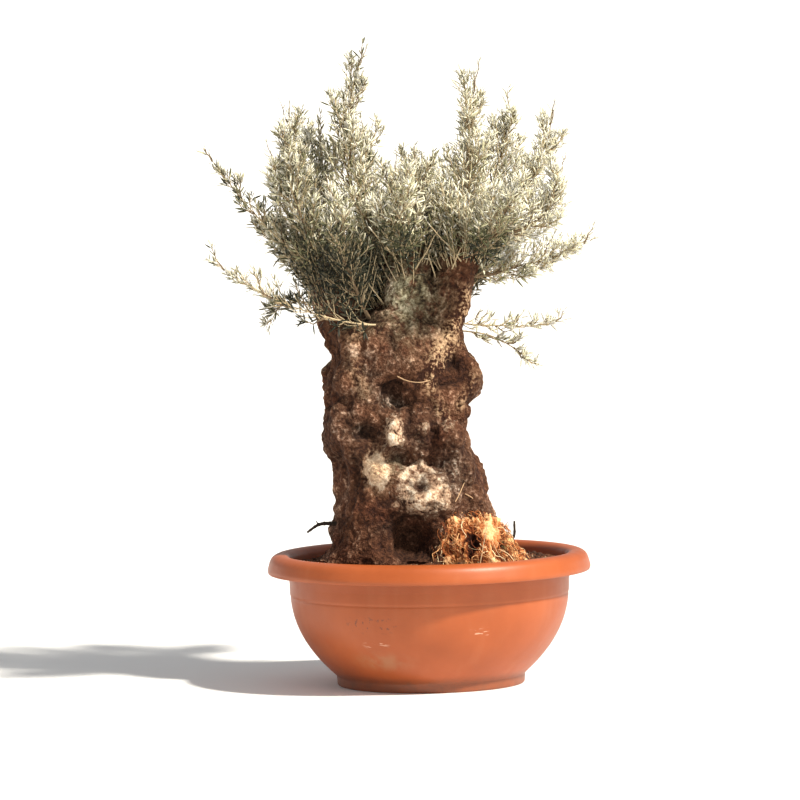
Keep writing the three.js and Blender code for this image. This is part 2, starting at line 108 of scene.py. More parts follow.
def make_camera():
    """A long lens from far away, aimed so that the bowl's foot falls on its pixel of the photograph."""
    right = (PHOTO_PIXELS / 2 - FOOT_PIXEL[0]) * PIXEL
    up = (FOOT_PIXEL[1] - PHOTO_PIXELS / 2) * PIXEL
    aim = Vector((
        right * math.cos(ROLL) + up * math.sin(ROLL),
        0,
        (up * math.cos(ROLL) - right * math.sin(ROLL)) / math.cos(ELEVATION),
    ))
    back = Vector((0, -math.cos(ELEVATION), math.sin(ELEVATION)))
    lens = bpy.data.cameras.new("camera")
    lens.sensor_width = SENSOR
    lens.lens = SENSOR * CAMERA_DISTANCE / (PHOTO_PIXELS * PIXEL)
    lens.clip_end = CAMERA_REACH * MM
    camera = placed("camera", lens)
    camera.location = (aim + back * CAMERA_DISTANCE) * MM
    camera.rotation_mode = "QUATERNION"
    camera.rotation_quaternion = (-back).to_track_quat("-Z", "Y") @ Quaternion((0, 0, 1), -ROLL)
    bpy.context.scene.camera = camera


def make_sun(name, strength, softness, towards, colour):
    """A sun that shines along a direction. Its softness is its width in degrees."""
    light = bpy.data.lights.new(name, "SUN")
    light.energy = strength
    light.angle = math.radians(softness)
    light.color = colour
    sun = placed(name, light)
    sun.rotation_mode = "QUATERNION"
    sun.rotation_quaternion = Vector(towards).to_track_quat("-Z", "Y")


def make_world(colour, strength):
    """An even pale sky."""
    world = bpy.data.worlds.new("studio")
    world.use_nodes = True
    background = world.node_tree.nodes["Background"]
    background.inputs["Color"].default_value = (*colour, 1)
    background.inputs["Strength"].default_value = strength
    bpy.context.scene.world = world


def make_floor():
    """Two strips, a level one and a rising one behind it."""
    edges = [(-FLOOR_HALF, 0), (FLOOR_LEVEL_UNTIL, 0), (FLOOR_HALF, FLOOR_RISE)]
    corners = np.array([(x, y, z) for y, z in edges for x in (-FLOOR_HALF, FLOOR_HALF)])
    mesh = shell_mesh("floor", corners, np.array([[0, 1, 3, 2], [2, 3, 5, 4]]))
    mesh.materials.append(Finish("pale_floor", (0.86, 0.86, 0.85), 0.9, 0.1).material)
    placed("floor", mesh)


# Mathematics for whole arrays

def mix(a, b, t):
    """From a to b by a share t."""
    return a + (b - a) * t


def smooth_step(low, high, x):
    """0 below low, 1 above high, and a smooth cubic between."""
    t = np.clip((x - low) / (high - low), 0, 1)
    return t * t * (3 - 2 * t)


def unit(v):
    """Vectors at length 1."""
    return v / np.maximum(np.linalg.norm(v, axis=-1, keepdims=True), 1e-9)


def turns(count):
    """Angles evenly round a full turn."""
    return np.arange(count) / count * 2 * math.pi


def crossed(rows, columns):
    """Two parameters on a grid, rows by columns."""
    return np.meshgrid(rows, columns, indexing="ij")


def round_axis(radius, angle, height):
    """Points at a radius, an angle and a height, round the bowl's axis."""
    return np.stack(np.broadcast_arrays(radius * np.cos(angle), radius * np.sin(angle), height), axis=-1)


def passing(start, middle, end):
    """The start, control and end of a quadratic arc that passes through its middle point."""
    start, middle, end = (np.array(point, float) for point in (start, middle, end))
    return np.array([start, 2 * middle - (start + end) / 2, end])


def on_arc(arcs, t):
    """Points on quadratic arcs at shares of their way. The last axes of arcs are control and coordinate."""
    t = np.asarray(t, float)[..., None]
    return (1 - t) ** 2 * arcs[..., 0, :] + 2 * t * (1 - t) * arcs[..., 1, :] + t ** 2 * arcs[..., 2, :]


def draw(seed, index):
    """The solids' seeded draw between 0 and 1: the fraction of a large multiple of a sine."""
    s = np.sin(seed * 127.1 + np.asarray(index) * 311.7) * 43758.5453
    return s - np.floor(s)


# The lattice's values are scrambled whole numbers: factors for the axes, then shifts and factors.
LOW_BITS = np.uint64(0xFFFFFFFF)
AXIS_FACTORS = np.array([374761393, 668265263, 2147483647], np.uint64)
SCRAMBLES = np.array([[13, 1274126177], [15, 2246822519]], np.uint64)


def lattice_noise(points, pitch, seed):
    """Noise from -1 to 1: random values on a cubic lattice, blended between the eight nearest."""
    q = points / pitch
    cell = np.floor(q).astype(np.int64)
    t = q - cell
    t = t * t * t * (t * (t * 6 - 15) + 10)
    total = np.zeros(len(points))
    for corner in itertools.product((0, 1), repeat=3):
        at = (cell + np.array(corner)).astype(np.uint64) * AXIS_FACTORS
        mixed = (at.sum(axis=1) + np.uint64(seed * 144665 + 1)) & LOW_BITS
        for shift, factor in SCRAMBLES:
            mixed = ((mixed ^ (mixed >> shift)) * factor) & LOW_BITS
        value = (mixed ^ (mixed >> np.uint64(16))) / 2147483647.5 - 1
        total += value * np.prod(np.where(corner, t, 1 - t), axis=1)
    return total


def drift(points, pitch, seed):
    """A shift from -1 to 1 each way, by three noises."""
    return np.stack([lattice_noise(points, pitch, seed + k) for k in range(3)], axis=-1)


def cloud(points, pitch, seed, octaves=3):
    """Noise summed over octaves, each half as coarse and half as strong as the last."""
    return sum(lattice_noise(points, pitch / 2 ** k, seed + k) / 2 ** k for k in range(octaves))


def folded(points, pitch, seed, at_zero, slope):
    """Noise folded where it crosses zero: the mean of a coarse one and, half as strong, a finer one."""
    coarse, fine = (at_zero + slope * np.abs(lattice_noise(points, pitch / k, seed + k - 1)) for k in (1, 2))
    return (coarse + fine / 2) / 1.5


def billowed(points, pitch, seed):
    """Rounded swellings up to about 1, parted by sharp creases at -1 where the noise crosses zero."""
    return folded(points, pitch, seed, -1, 3.4)


def ridged(points, pitch, seed):
    """Sharp crests at 1 where the noise crosses zero, falling to rounded hollows near -1."""
    return folded(points, pitch, seed, 1, -3)


# Meshes

def grid_faces(rows, columns):
    """The four-cornered faces of a grid of points, row after row, whose rows close into rings."""
    r, c = crossed(np.arange(rows - 1), np.arange(columns))
    here = r * columns + c
    beside = r * columns + (c + 1) % columns
    return np.stack([here, beside, beside + columns, here + columns], axis=-1).reshape(-1, 4)


def skin_faces(rows, columns):
    """The faces over a stack of rings, closed at both ends by a fan to a hub. The two hubs come after
    the rings' points."""
    around = np.arange(columns)
    beside = (around + 1) % columns
    hub = np.full(columns, rows * columns)
    top = (rows - 1) * columns
    return np.concatenate([
        grid_faces(rows, columns),
        np.stack([beside, around, hub, hub], axis=-1),
        np.stack([top + around, top + beside, hub + 1, hub + 1], axis=-1),
    ])


def copied_faces(faces, copies, points_each):
    """The faces of one shape for each of its copies, whose points follow each other."""
    every = faces[None] + (np.arange(copies) * points_each)[:, None, None]
    return every.reshape(-1, faces.shape[1])


def closed_skin(rings):
    """A skin over a stack of rings of points, an array (rows, columns, 3), closed at both ends."""
    hubs = [rings[0].mean(axis=0)[None], rings[-1].mean(axis=0)[None]]
    return np.concatenate([rings.reshape(-1, 3), *hubs]), skin_faces(*rings.shape[:2])


def plain_faces(faces):
    """Faces as lists of corners. One whose last corner repeats is three-cornered."""
    return [face[:3] if face[2] == face[-1] else face for face in faces.tolist()]


def shell_mesh(name, points, faces):
    """A mesh from points in millimetres."""
    mesh = bpy.data.meshes.new(name)
    mesh.from_pydata((points * MM).tolist(), [], plain_faces(faces))
    mesh.update()
    return mesh


def add_piece(name, mesh, materials, nodes, dealt=None, smooth=True):
    """A finished piece: its name, its mesh, its finishes, the nodes it stands for and, where it has several
    finishes, the number of the one dealt to each face. It hangs from the root body and hides those nodes."""
    for material in materials:
        mesh.materials.append(material)
    mesh.polygons.foreach_set("use_smooth", np.full(len(mesh.polygons), smooth))
    if dealt is not None:
        mesh.polygons.foreach_set("material_index", dealt.astype(np.int32))
    piece = placed(name, mesh)
    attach(piece, "root")
    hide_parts(*nodes)


def set_attribute(mesh, name, values):
    """A number at each vertex, under a name that a material reads."""
    mesh.attributes.new(name, "FLOAT", "POINT").data.foreach_set("value", values.astype(np.float32))


def vertex_values(mesh, name):
    """A value of three parts at each vertex, such as its place."""
    values = np.empty(len(mesh.vertices) * 3, np.float32)
    mesh.vertices.foreach_get(name, values)
    return values.reshape(-1, 3).astype(float)


def finished(mesh, modifiers):
    """The mesh after a stack of modifiers, each a kind and its settings."""
    carrier = placed("carrier", mesh)
    for kind, settings in modifiers:
        modifier = carrier.modifiers.new(kind, kind)
        for key, value in settings.items():
            setattr(modifier, key, value)
    view = bpy.context.evaluated_depsgraph_get()
    result = bpy.data.meshes.new_from_object(carrier.evaluated_get(view), depsgraph=view)
    bpy.data.objects.remove(carrier)
    return result


def joined(shells):
    """Several (points, faces) shells as one."""
    starts = np.cumsum([0] + [len(points) for points, _ in shells[:-1]])
    return (np.concatenate([points for points, _ in shells]),
            np.concatenate([faces + start for start, (_, faces) in zip(starts, shells)]))


def tubes(paths, radii, sides):
    """Tapered tubes with pointed ends. Paths is (tubes, stations, 3) and radii is (tubes, stations).
    Every ring is square to its path, and the ends close to the path's first and last points."""
    count, stations = paths.shape[:2]
    ahead = unit(np.gradient(paths, axis=1))
    side = unit(np.cross(ahead, np.where(np.abs(ahead[:, :1, 2:]) > 0.9, ACROSS, UP)))
    over = np.cross(ahead, side)
    angle = turns(sides)
    ring = side[:, :, None] * np.cos(angle)[:, None] - over[:, :, None] * np.sin(angle)[:, None]
    rings = paths[:, :, None] - ring * radii[:, :, None, None]
    points = np.concatenate([rings.reshape(count, -1, 3), paths[:, :1], paths[:, -1:]], axis=1)
    return points.reshape(-1, 3), copied_faces(skin_faces(stations, sides), count, points.shape[1])


# Materials

def opaque(colour):
    """A colour with its alpha, or a node's output as it is."""
    return colour if isinstance(colour, bpy.types.NodeSocket) else (*colour, 1)


class Finish:
    """A material under construction: a principled surface and the nodes that lead to it."""

    def __init__(self, name, colour, roughness, specular=0.5):
        self.material = bpy.data.materials.new(name)
        self.material.use_nodes = True
        self.tree = self.material.node_tree
        self.surface = self.tree.nodes["Principled BSDF"].inputs
        self.surface["Base Color"].default_value = opaque(colour)
        self.surface["Roughness"].default_value = roughness
        self.surface["Specular IOR Level"].default_value = specular
        self.place = self.node("ShaderNodeTexCoord").outputs["Object"]

    def node(self, kind, inputs=(), **settings):
        """A node with its settings, whose inputs are given by name or number, as a value or as
        another node's output."""
        made = self.tree.nodes.new(kind)
        for key, value in settings.items():
            setattr(made, key, value)
        for key, value in dict(inputs).items():
            if isinstance(value, bpy.types.NodeSocket):
                self.tree.links.new(value, made.inputs[key])
            else:
                made.inputs[key].default_value = value
        return made

    def drive(self, name, value):
        """Leads a node's output to a socket of the surface."""
        self.tree.links.new(value, self.surface[name])

    def noise(self, scale, detail=3.0, roughness=0.55, distortion=0.0, where=None):
        """Cloudy noise from 0 to 1, with scale in waves a metre."""
        return self.node("ShaderNodeTexNoise", {
            "Vector": where or self.place, "Scale": scale, "Detail": detail, "Roughness": roughness,
            "Distortion": distortion,
        }).outputs["Fac"]

    def stretched(self, scale):
        """Object coordinates stretched by a factor each way."""
        return self.node("ShaderNodeMapping", {"Vector": self.place, "Scale": scale}).outputs["Vector"]

    def ramp(self, value, stops):
        """A colour ramp over stops of (place, colour)."""
        made = self.node("ShaderNodeValToRGB", {"Fac": value})
        band = made.color_ramp
        while len(band.elements) < len(stops):
            band.elements.new(0.5)
        for element, (place, colour) in zip(band.elements, stops):
            element.position = place
            element.color = opaque(colour)
        return made.outputs["Color"]

    def tinted(self, value, *stops):
        """A colour ramp over stops of (place, red, green, blue), on the usual 0 to 255 scale."""
        return self.ramp(value, [(place, srgb(*colour)) for place, *colour in stops])

    def step(self, value, low, high):
        """0 at low, 1 at high, smooth between. Low may be the larger of the two."""
        return self.node("ShaderNodeMapRange", {"Value": value, "From Min": low, "From Max": high},
                         interpolation_type="SMOOTHSTEP").outputs["Result"]

    def combined(self, operation, first, *others):
        """Values joined one after another by a node's operation."""
        for other in others:
            first = self.node("ShaderNodeMath", {0: first, 1: other}, operation=operation).outputs["Value"]
        return first

    def times(self, *values):
        """Values multiplied."""
        return self.combined("MULTIPLY", *values)

    def plus(self, *values):
        """Values added."""
        return self.combined("ADD", *values)

    def blend(self, amount, a, b, way="MIX"):
        """Colour a with colour b over it by an amount."""
        return self.node("ShaderNodeMix", {0: amount, 6: opaque(a), 7: opaque(b)},
                         data_type="RGBA", blend_type=way).outputs[2]

    def layered(self, base, *layers):
        """A colour with others laid over it in turn, each given as its amount and its colour."""
        for amount, colour in layers:
            base = self.blend(amount, base, colour)
        return base

    def attribute(self, name):
        """The value that the mesh carries under a name."""
        return self.node("ShaderNodeAttribute", attribute_name=name).outputs["Fac"]

    def patch(self, middle, half):
        """1 in the middle of a soft ellipsoid, in millimetres, falling to 0 at its skin."""
        place = self.place
        for operation, lengths in (("SUBTRACT", middle), ("DIVIDE", half)):
            inputs = {0: place, 1: [length * MM for length in lengths]}
            place = self.node("ShaderNodeVectorMath", inputs, operation=operation).outputs["Vector"]
        away = self.node("ShaderNodeVectorMath", {0: place}, operation="LENGTH").outputs["Value"]
        return self.step(away, 1.0, 0.2)

    def bump(self, height, distance, strength=1.0):
        """Relief of a height from 0 to 1 times a distance in millimetres."""
        relief = self.node("ShaderNodeBump", {
            "Height": height, "Distance": distance * MM, "Strength": strength})
        self.drive("Normal", relief.outputs["Normal"])


def srgb(red, green, blue):
    """A colour on the usual 0 to 255 scale, as the renderer's linear values."""
    shares = [c / 255 for c in (red, green, blue)]
    return tuple(s / 12.92 if s <= 0.04045 else ((s + 0.055) / 1.055) ** 2.4 for s in shares)


def terracotta_finish():
    """Moulded plastic: even orange brown with faint clouds and streaks, dust low down, dirt with painted
    shade by the foot, and scuffs and scratches in front."""
    f = Finish("terracotta_plastic", (0.38, 0.083, 0.019), 0.45, 0.42)
    streaks = f.noise(26, 2, where=f.stretched((1, 1, 0.12)))
    dust = f.times(f.patch((-96, -205, 62), (84, 80, 26)), f.step(f.noise(38, 4), 0.30, 0.62))
    height = f.node("ShaderNodeSeparateXYZ", {"Vector": f.place}).outputs["Z"]
    # Darker by the foot: partly dirt, partly painted shade where the bowl stands on the floor.
    dirt_and_painted_shade = f.times(f.step(height, 34 * MM, 14 * MM), f.plus(0.45, f.noise(60, 4)))
    scuffs = f.times(f.step(f.noise(150, 2), 0.58, 0.63), f.patch((-105, -225, 133), (74, 80, 22)))
    scratches = f.step(f.noise(120, 2, where=f.stretched((0.16, 1, 1.6))), 0.58, 0.64)
    rubbed = [f.patch(middle, (30, 60, 11)) for middle in ((-99, -215, 95), (91, -225, 117))]
    f.drive("Base Color", f.layered(
        f.ramp(f.noise(9, 4), [(0.3, (0.34, 0.073, 0.015)), (0.7, (0.42, 0.096, 0.023))]),
        (f.times(f.step(streaks, 0.5, 0.8), 0.18), (0.50, 0.17, 0.07)),
        (f.times(dust, 0.34), (0.34, 0.22, 0.11)),
        (f.times(dirt_and_painted_shade, 0.75), (0.17, 0.062, 0.032)),
        (f.times(scuffs, 0.85), (0.11, 0.045, 0.028)),
        (f.times(scratches, f.combined("MAXIMUM", *rubbed), 0.85), (0.72, 0.42, 0.28)),
    ))
    shine = {"Value": f.noise(30, 3), "To Min": 0.34, "To Max": 0.52}
    f.drive("Roughness", f.node("ShaderNodeMapRange", shine).outputs["Result"])
    f.bump(f.noise(420, 2), 0.25, 0.5)
    return f.material


def soil_finish():
    """Crumbly earth: dark and light clods with fine grit between."""
    dark, light, grit = srgb(60, 35, 24), srgb(118, 73, 48), srgb(164, 116, 84)
    f = Finish("potting_soil", dark, 0.95, 0.15)
    base = f.ramp(f.noise(55, 5, 0.65), [(0.35, dark), (0.68, light)])
    f.drive("Base Color", f.blend(f.step(f.noise(420, 3), 0.58, 0.68), base, grit))
    f.bump(f.noise(300, 5, 0.7), 2.0, 0.9)
    return f.material


# The bark's tones from furrow to crest: of the plain bark, and of each finish that lies over it.
# Dark furrows and light crests are partly the bark's own tone and partly painted shade and light.
BARK_TONES = {
    "plain": [(0.24, 52, 30, 20), (0.42, 80, 49, 31), (0.54, 92, 60, 41), (0.66, 122, 86, 65),
              (0.82, 196, 160, 132)],
    "rust": [(0.26, 48, 22, 13), (0.48, 82, 44, 27), (0.64, 108, 64, 43), (0.84, 180, 130, 102)],
    "lichen": [(0.30, 34, 34, 29), (0.48, 88, 86, 74), (0.60, 160, 156, 140), (0.74, 226, 220, 206)],
    "moss": [(0.26, 42, 39, 27), (0.44, 106, 98, 74), (0.58, 148, 142, 116), (0.76, 184, 180, 154)],
    "pale": [(0.20, 124, 92, 70), (0.33, 184, 150, 122), (0.50, 218, 190, 160), (0.72, 250, 236, 212)],
    "gold": [(0.36, 126, 90, 64), (0.60, 232, 198, 156)],
}


def bark_finish():
    """Old olive bark: dark furrows, brown plates and tan crests, partly its own tone and partly painted shade
    and light, with red flakes, lichen, moss, worn pale wood and painted highlights on the bright ridges over
    them, each where its attribute says, and painted shade in the hollows and high in the crown."""
    f = Finish("olive_bark", (0.12, 0.065, 0.04), 0.88, 0.2)
    flecked = f.noise(175, 2, 0.6)
    grain = f.plus(f.times(f.noise(60, 3, 0.5, 0.5), 0.32), f.times(flecked, 0.92))
    # The relief darkens furrows and lightens crests: partly the bark's own tone, partly painted shade and
    # light.
    carved = f.plus(f.times(f.attribute("relief"), 0.5), f.times(f.attribute("tone"), 0.10))
    level = f.plus(carved, f.plus(grain, -0.432))
    clouded = f.plus(level, f.times(f.plus(f.noise(42, 3), -0.5), 0.7))
    flecks = f.step(f.noise(150, 4, 0.75), 0.52, 0.66)
    edge = f.plus(f.attribute("pale"), f.times(f.plus(f.noise(90, 4, 0.7), -0.5), 1.2))
    amounts = {
        "rust": f.times(f.attribute("rust"), f.step(f.noise(16, 3), 0.42, 0.62), 0.7),
        "lichen": f.times(f.attribute("lichen"), f.plus(0.35, f.times(flecks, 0.65))),
        "moss": f.times(f.attribute("moss"), f.step(f.noise(60, 5, 0.7), 0.34, 0.56)),
        "pale": f.times(f.step(edge, 0.24, 0.74), f.step(level, 0.12, 0.32)),
        # Painted highlight on the ridges that the light catches, and a yellow tint at one spot of pale wood.
        "gold": f.times(f.attribute("gold"), f.step(level, 0.34, 0.48)),
    }
    tones = {name: f.tinted(clouded if name == "pale" else level, *stops)
             for name, stops in BARK_TONES.items()}
    base = f.layered(tones["plain"], *((amount, tones[name]) for name, amount in amounts.items()))
    # Painted shade: the dark attribute darkens the hollows and the wood high inside the crown.
    f.drive("Base Color", f.blend(f.attribute("dark"), base, srgb(70, 54, 50), "MULTIPLY"))
    f.bump(f.plus(flecked, f.times(f.noise(300, 2), 0.3)), 6.0)
    return f.material


def plain_finish(name, colour, roughness, spread=0.12):
    """A plain base colour with a faint cloudiness of its own."""
    f = Finish(name, colour, roughness, 0.35)
    darker = tuple(c * (1 - spread) for c in colour)
    lighter = tuple(c * (1 + spread) for c in colour)
    f.drive("Base Color", f.ramp(f.noise(220, 2), [(0.3, darker), (0.7, lighter)]))
    return f.material


# The bowl

def body_radius(height):
    """The outer radius of the body: it swells quickly from the foot and is nearly upright at the top."""
    share = np.clip((height - FOOT_HEIGHT) / (BODY_TOP_HEIGHT - FOOT_HEIGHT), 0, 1)
    return mix(FOOT_RADIUS + 3, BODY_TOP_RADIUS, 1 - (1 - share) ** 2.35)


def rounded(corners, steps=6):
    """A profile whose corners, (radius, height, rounding), turn into short arcs: each is cut back
    along both its edges by the rounding, and a quadratic arc bridges the cut."""
    profile = []
    for k, (r, z, cut) in enumerate(corners):
        here = np.array([r, z], float)
        if cut == 0 or k in (0, len(corners) - 1):
            profile.append(here)
            continue
        edges = [np.array(corners[beside][:2], float) - here for beside in (k - 1, k + 1)]
        start, end = (here + edge * min(cut / np.linalg.norm(edge), 0.48) for edge in edges)
        profile.extend(on_arc(np.array([start, here, end]), np.linspace(0, 1, steps)))
    return np.array(profile)


def lathe(profile, around):
    """A profile of (radius, height) turned round the axis. Its first and last points lie on the axis."""
    return closed_skin(round_axis(profile[1:-1, 0, None], turns(around), profile[1:-1, 1, None]))


def drained(mesh, x, y):
    """The bowl's shell after one drain hole is cut through its floor."""
    plan = round_axis(DRAIN_RADIUS, turns(28), 0.0) + (x, y, 0)
    drill = closed_skin(np.stack([plan + (0, 0, -5), plan + (0, 0, BOWL_FLOOR + 5)]))
    cutter = placed("drain", shell_mesh("drain", *drill))
    cut = finished(mesh, [("BOOLEAN", {"operation": "DIFFERENCE", "solver": "EXACT", "object": cutter})])
    bpy.data.objects.remove(cutter)
    return cut


def make_bowl():
    """One profile, from under the foot over the rolled rim to the floor inside, turned and drained."""
    groove_height = 167
    groove_depth = 1.0
    groove_width = 1.6
    rim_bottom = 209
    heights = np.linspace(FOOT_HEIGHT + 1, BODY_TOP_HEIGHT, 90)
    groove = groove_depth * np.exp(-((heights - groove_height) / groove_width) ** 2)
    step = 0.4 * smooth_step(groove_height, groove_height + 3, heights)
    body = [(r, h, 0) for r, h in zip(body_radius(heights) - groove + step, heights)]
    inside = [(body_radius(h) - BOWL_WALL, h, 3) for h in (190, 150, 92, 60, 34)]
    corners = [
        (0, 0, 0), (60, 0, 1.5), (64, 5, 1.5), (148, 5, 1.5), (152, 0, 1.5),
        (FOOT_RADIUS - 2, 0, 1), (FOOT_RADIUS, 2, 2), (FOOT_RADIUS + 1, FOOT_HEIGHT - 3, 2),
        *body,
        (BODY_TOP_RADIUS + 5, BOWL_HEIGHT - 9, 6), (BOWL_RADIUS - 13, BOWL_HEIGHT - 10, 5),
        (BOWL_RADIUS - 5, rim_bottom, 1.4), (BOWL_RADIUS - 2, rim_bottom, 1.4),
        (BOWL_RADIUS, rim_bottom + 6, 6), (BOWL_RADIUS - 6, BOWL_HEIGHT - 8, 9),
        (BOWL_RADIUS - 16, BOWL_HEIGHT - 1, 7), (BOWL_RADIUS - 28, BOWL_HEIGHT, 8),
        (BODY_TOP_RADIUS + 3, BOWL_HEIGHT - 2, 5), (BODY_TOP_RADIUS - 2, BOWL_HEIGHT - 9, 4),
        *inside,
        (FOOT_RADIUS - 18, BOWL_FLOOR, 4), (0, BOWL_FLOOR, 0),
    ]
    mesh = shell_mesh("bowl", *lathe(rounded(corners), 256))
    for turn in turns(DRAINS):
        mesh = drained(mesh, DRAIN_CIRCLE * math.cos(turn), DRAIN_CIRCLE * math.sin(turn))
    add_piece("bowl_shell", mesh, [terracotta_finish()], ["bowl"])


# The soil

def soil_height(r, angle):
    """The level of the soil: a flat bed that falls a little towards the wall, with low clods."""
    edge = BODY_TOP_RADIUS - BOWL_WALL
    fall = SOIL_EDGE_DROP * smooth_step(edge - 90, edge, r)
    flat = round_axis(r, angle, SOIL_LEVEL).reshape(-1, 3)
    clods = 2.6 * cloud(flat, 34, 61) + 1.7 * ridged(flat, 13, 71) + 0.8 * lattice_noise(flat, 5, 81)
    quiet = smooth_step(edge, edge - 10, r)
    return SOIL_LEVEL - fall + clods.reshape(r.shape) * quiet - 0.5


def make_soil():
    """A solid that fills the bowl: a turned profile below, and the level of the clods on top."""
    inside = BOWL_WALL + 0.7
    bottom = BOWL_FLOOR + 0.4
    below = np.array([34, 60, 92, 140, 190])
    profile = np.concatenate([
        [[60, bottom], [FOOT_RADIUS - 19, bottom]],
        np.stack([body_radius(below) - inside, below], axis=-1),
    ])
    angle = turns(260)
    lower = round_axis(profile[:, 0, None], angle, profile[:, 1, None])
    top_radius = np.concatenate([[BODY_TOP_RADIUS - inside - 1], np.linspace(BODY_TOP_RADIUS - 9, 4, 118)])
    r, a = crossed(top_radius, angle)
    top = round_axis(r, a, soil_height(r, a))
    mesh = shell_mesh("soil", *closed_skin(np.concatenate([lower, top])))
    add_piece("soil_bed", mesh, [soil_finish()], ["soil"])


def pebbles(middles, sizes, seed):
    """Small rough lumps: an octahedron's corners and edge middles on a sphere, moved by a seeded draw."""
    corners = np.array([[1, 0, 0], [0, 1, 0], [-1, 0, 0], [0, -1, 0], [0, 0, 1], [0, 0, -1]], float)
    faces = [[0, 1, 4], [1, 2, 4], [2, 3, 4], [3, 0, 4], [1, 0, 5], [2, 1, 5], [3, 2, 5], [0, 3, 5]]
    halves = {}
    split = []
    for a, b, c in faces:
        ab, bc, ca = (halves.setdefault(frozenset(edge), len(corners) + len(halves))
                      for edge in ((a, b), (b, c), (c, a)))
        split += [[a, ab, ca], [ab, b, bc], [ca, bc, c], [ab, bc, ca]]
    edge_middles = [corners[list(edge)].sum(axis=0) for edge in halves]
    ball = unit(np.concatenate([corners, edge_middles]))
    rng = np.random.default_rng(seed)
    rough = mix(0.68, 1.25, rng.random((len(middles), len(ball), 1)))
    shape = mix(0.6, 1.1, rng.random((len(middles), 1, 3)))
    every = middles[:, None] + ball * rough * shape * sizes[:, None, None]
    return every.reshape(-1, 3), copied_faces(np.array(split), len(middles), len(ball))


# The crumbs' tones, and how far each one's colour spreads.
CRUMB_TONES = {"dark": ((70, 46, 34), 0.3), "red": ((138, 86, 58), 0.3), "pale": ((168, 140, 112), 0.2)}


def make_crumbs():
    """Loose crumbs, grit and chips on the soil, thickest in front of the root clump."""
    rng = np.random.default_rng(7)
    count = 1500
    angle = rng.random(count) * 2 * math.pi
    near_clump = rng.random(count) < 0.34
    angle = np.where(near_clump, mix(-1.55, -0.2, rng.random(count)), angle)
    r = np.sqrt(mix(0.22, 0.93, rng.random(count))) * (BODY_TOP_RADIUS - 14)
    size = mix(1.0, 4.6, rng.random(count) ** 2.6)
    points, faces = pebbles(round_axis(r, angle, soil_height(r, angle) + 0.35 * size), size, 8)
    pale, red = rng.random(count) < 0.08, near_clump & (rng.random(count) < 0.7)
    tone = np.repeat(np.where(pale, 2, np.where(red, 1, 0)), len(faces) // count)
    finishes = [plain_finish(f"crumb_{name}", srgb(*tone), 0.95, spread)
                for name, (tone, spread) in CRUMB_TONES.items()]
    mesh = shell_mesh("crumbs", points, faces)
    add_piece("soil_crumbs", mesh, finishes, ["soil"], tone, smooth=False)


# The trunk and the boughs

# Height, then how far the trunk reaches left, right, to the front and to the back.
TRUNK_REACH = np.array([
    [234, -206, 158, -158, 146],
    [263, -192, 136, -142, 130],
    [300, -183, 124, -132, 120],
    [352, -174, 108, -122, 114],
    [397, -175, 99, -120, 114],
    [441, -194, 80, -124, 118],
    [486, -196, 72, -126, 118],
    [516, -191, 76, -120, 116],
    [555, -188, 98, -118, 116],
    [590, -186, 90, -116, 114],
    [625, -172, 72, -108, 106],
    [656, -183, 66, -102, 106],
], float)

# Knobs and hollows: angle in degrees (-90 is the front), height, spread round, spread up, push.
TRUNK_KNOBS = [
    (-91, 536, 26, 24, -28), (-112, 471, 18, 18, -17), (-83, 419, 22, 18, -28), (-86, 470, 20, 24, 24),
    (-109, 397, 22, 24, 13), (-76, 358, 40, 36, 40), (-94, 268, 34, 34, -34), (-38, 458, 34, 32, 22),
    (-30, 556, 44, 40, 14), (-132, 470, 50, 60, 9), (-62, 410, 20, 26, -16), (-128, 560, 36, 26, 10),
    (-66, 600, 40, 18, 8), (-126, 310, 34, 60, 14), (20, 480, 34, 40, -14), (38, 380, 44, 46, 18),
    (70, 540, 40, 40, 20), (95, 430, 30, 34, -24), (120, 500, 44, 44, 18), (140, 350, 40, 50, 16),
    (165, 590, 30, 30, 12), (168, 420, 30, 40, -10), (-160, 360, 30, 40, -8), (80, 290, 40, 36, 22),
]

# The boughs: start, middle and tip, then the radius at the start and the tip.
BOUGHS = {
    "bough_left": ([[-118, 0, 600], [-158, -8, 690], [-170, -12, 776]], (54, 30)),
    "bough_centre": ([[-32, -22, 606], [-24, -16, 712], [-30, -8, 816]], (66, 38)),
    "bough_right": ([[4, -22, 594], [47, -30, 712], [86, -30, 850]], (44, 33)),
    "bough_back_left": ([[-104, 34, 610], [-132, 78, 700], [-148, 118, 774]], (54, 28)),
    "bough_back_right": ([[-4, 40, 610], [22, 84, 700], [42, 124, 778]], (52, 28)),
}

# Ridges of bark that run over the front, as (x, height) from top to bottom, with their radius.
RIDGES = {
    "bright_ridge": ([(78, 721), (71, 689), (53, 664), (33, 640), (18, 611), (12, 586), (10, 563)], 9),
    "right_strand": ([(70, 681), (60, 659), (52, 637), (42, 613), (28, 587)], 6),
    "thin_strand": ([(12, 573), (12, 547), (22, 524), (36, 499)], 5),
    "rim_strand": ([(56, 641), (70, 621), (86, 591), (84, 567), (76, 543), (58, 525)], 8),
    "pale_arm": ([(-104, 534), (-84, 510), (-60, 490), (-54, 466), (-70, 447), (-90, 423), (-92, 393)], 9),
    "left_rib": ([(-128, 661), (-132, 621), (-124, 581), (-110, 545)], 9),
    "low_rib": ([(-118, 430), (-124, 380), (-134, 320), (-146, 262)], 8),
    "right_rib": ([(84, 400), (94, 340), (110, 286), (124, 246)], 8),
    "lump_rim": ([(-46, 393), (-26, 409), (-6, 413), (14, 397), (32, 369), (38, 343)], 8),
    "back_rib": ([(-60, 640), (-70, 560), (-52, 470), (-74, 380), (-66, 300)], 12),
    "back_rib_right": ([(30, 600), (14, 520), (26, 430), (52, 340), (70, 262)], 12),
    "back_rib_left": ([(-150, 600), (-136, 500), (-150, 400), (-160, 280)], 11),
}

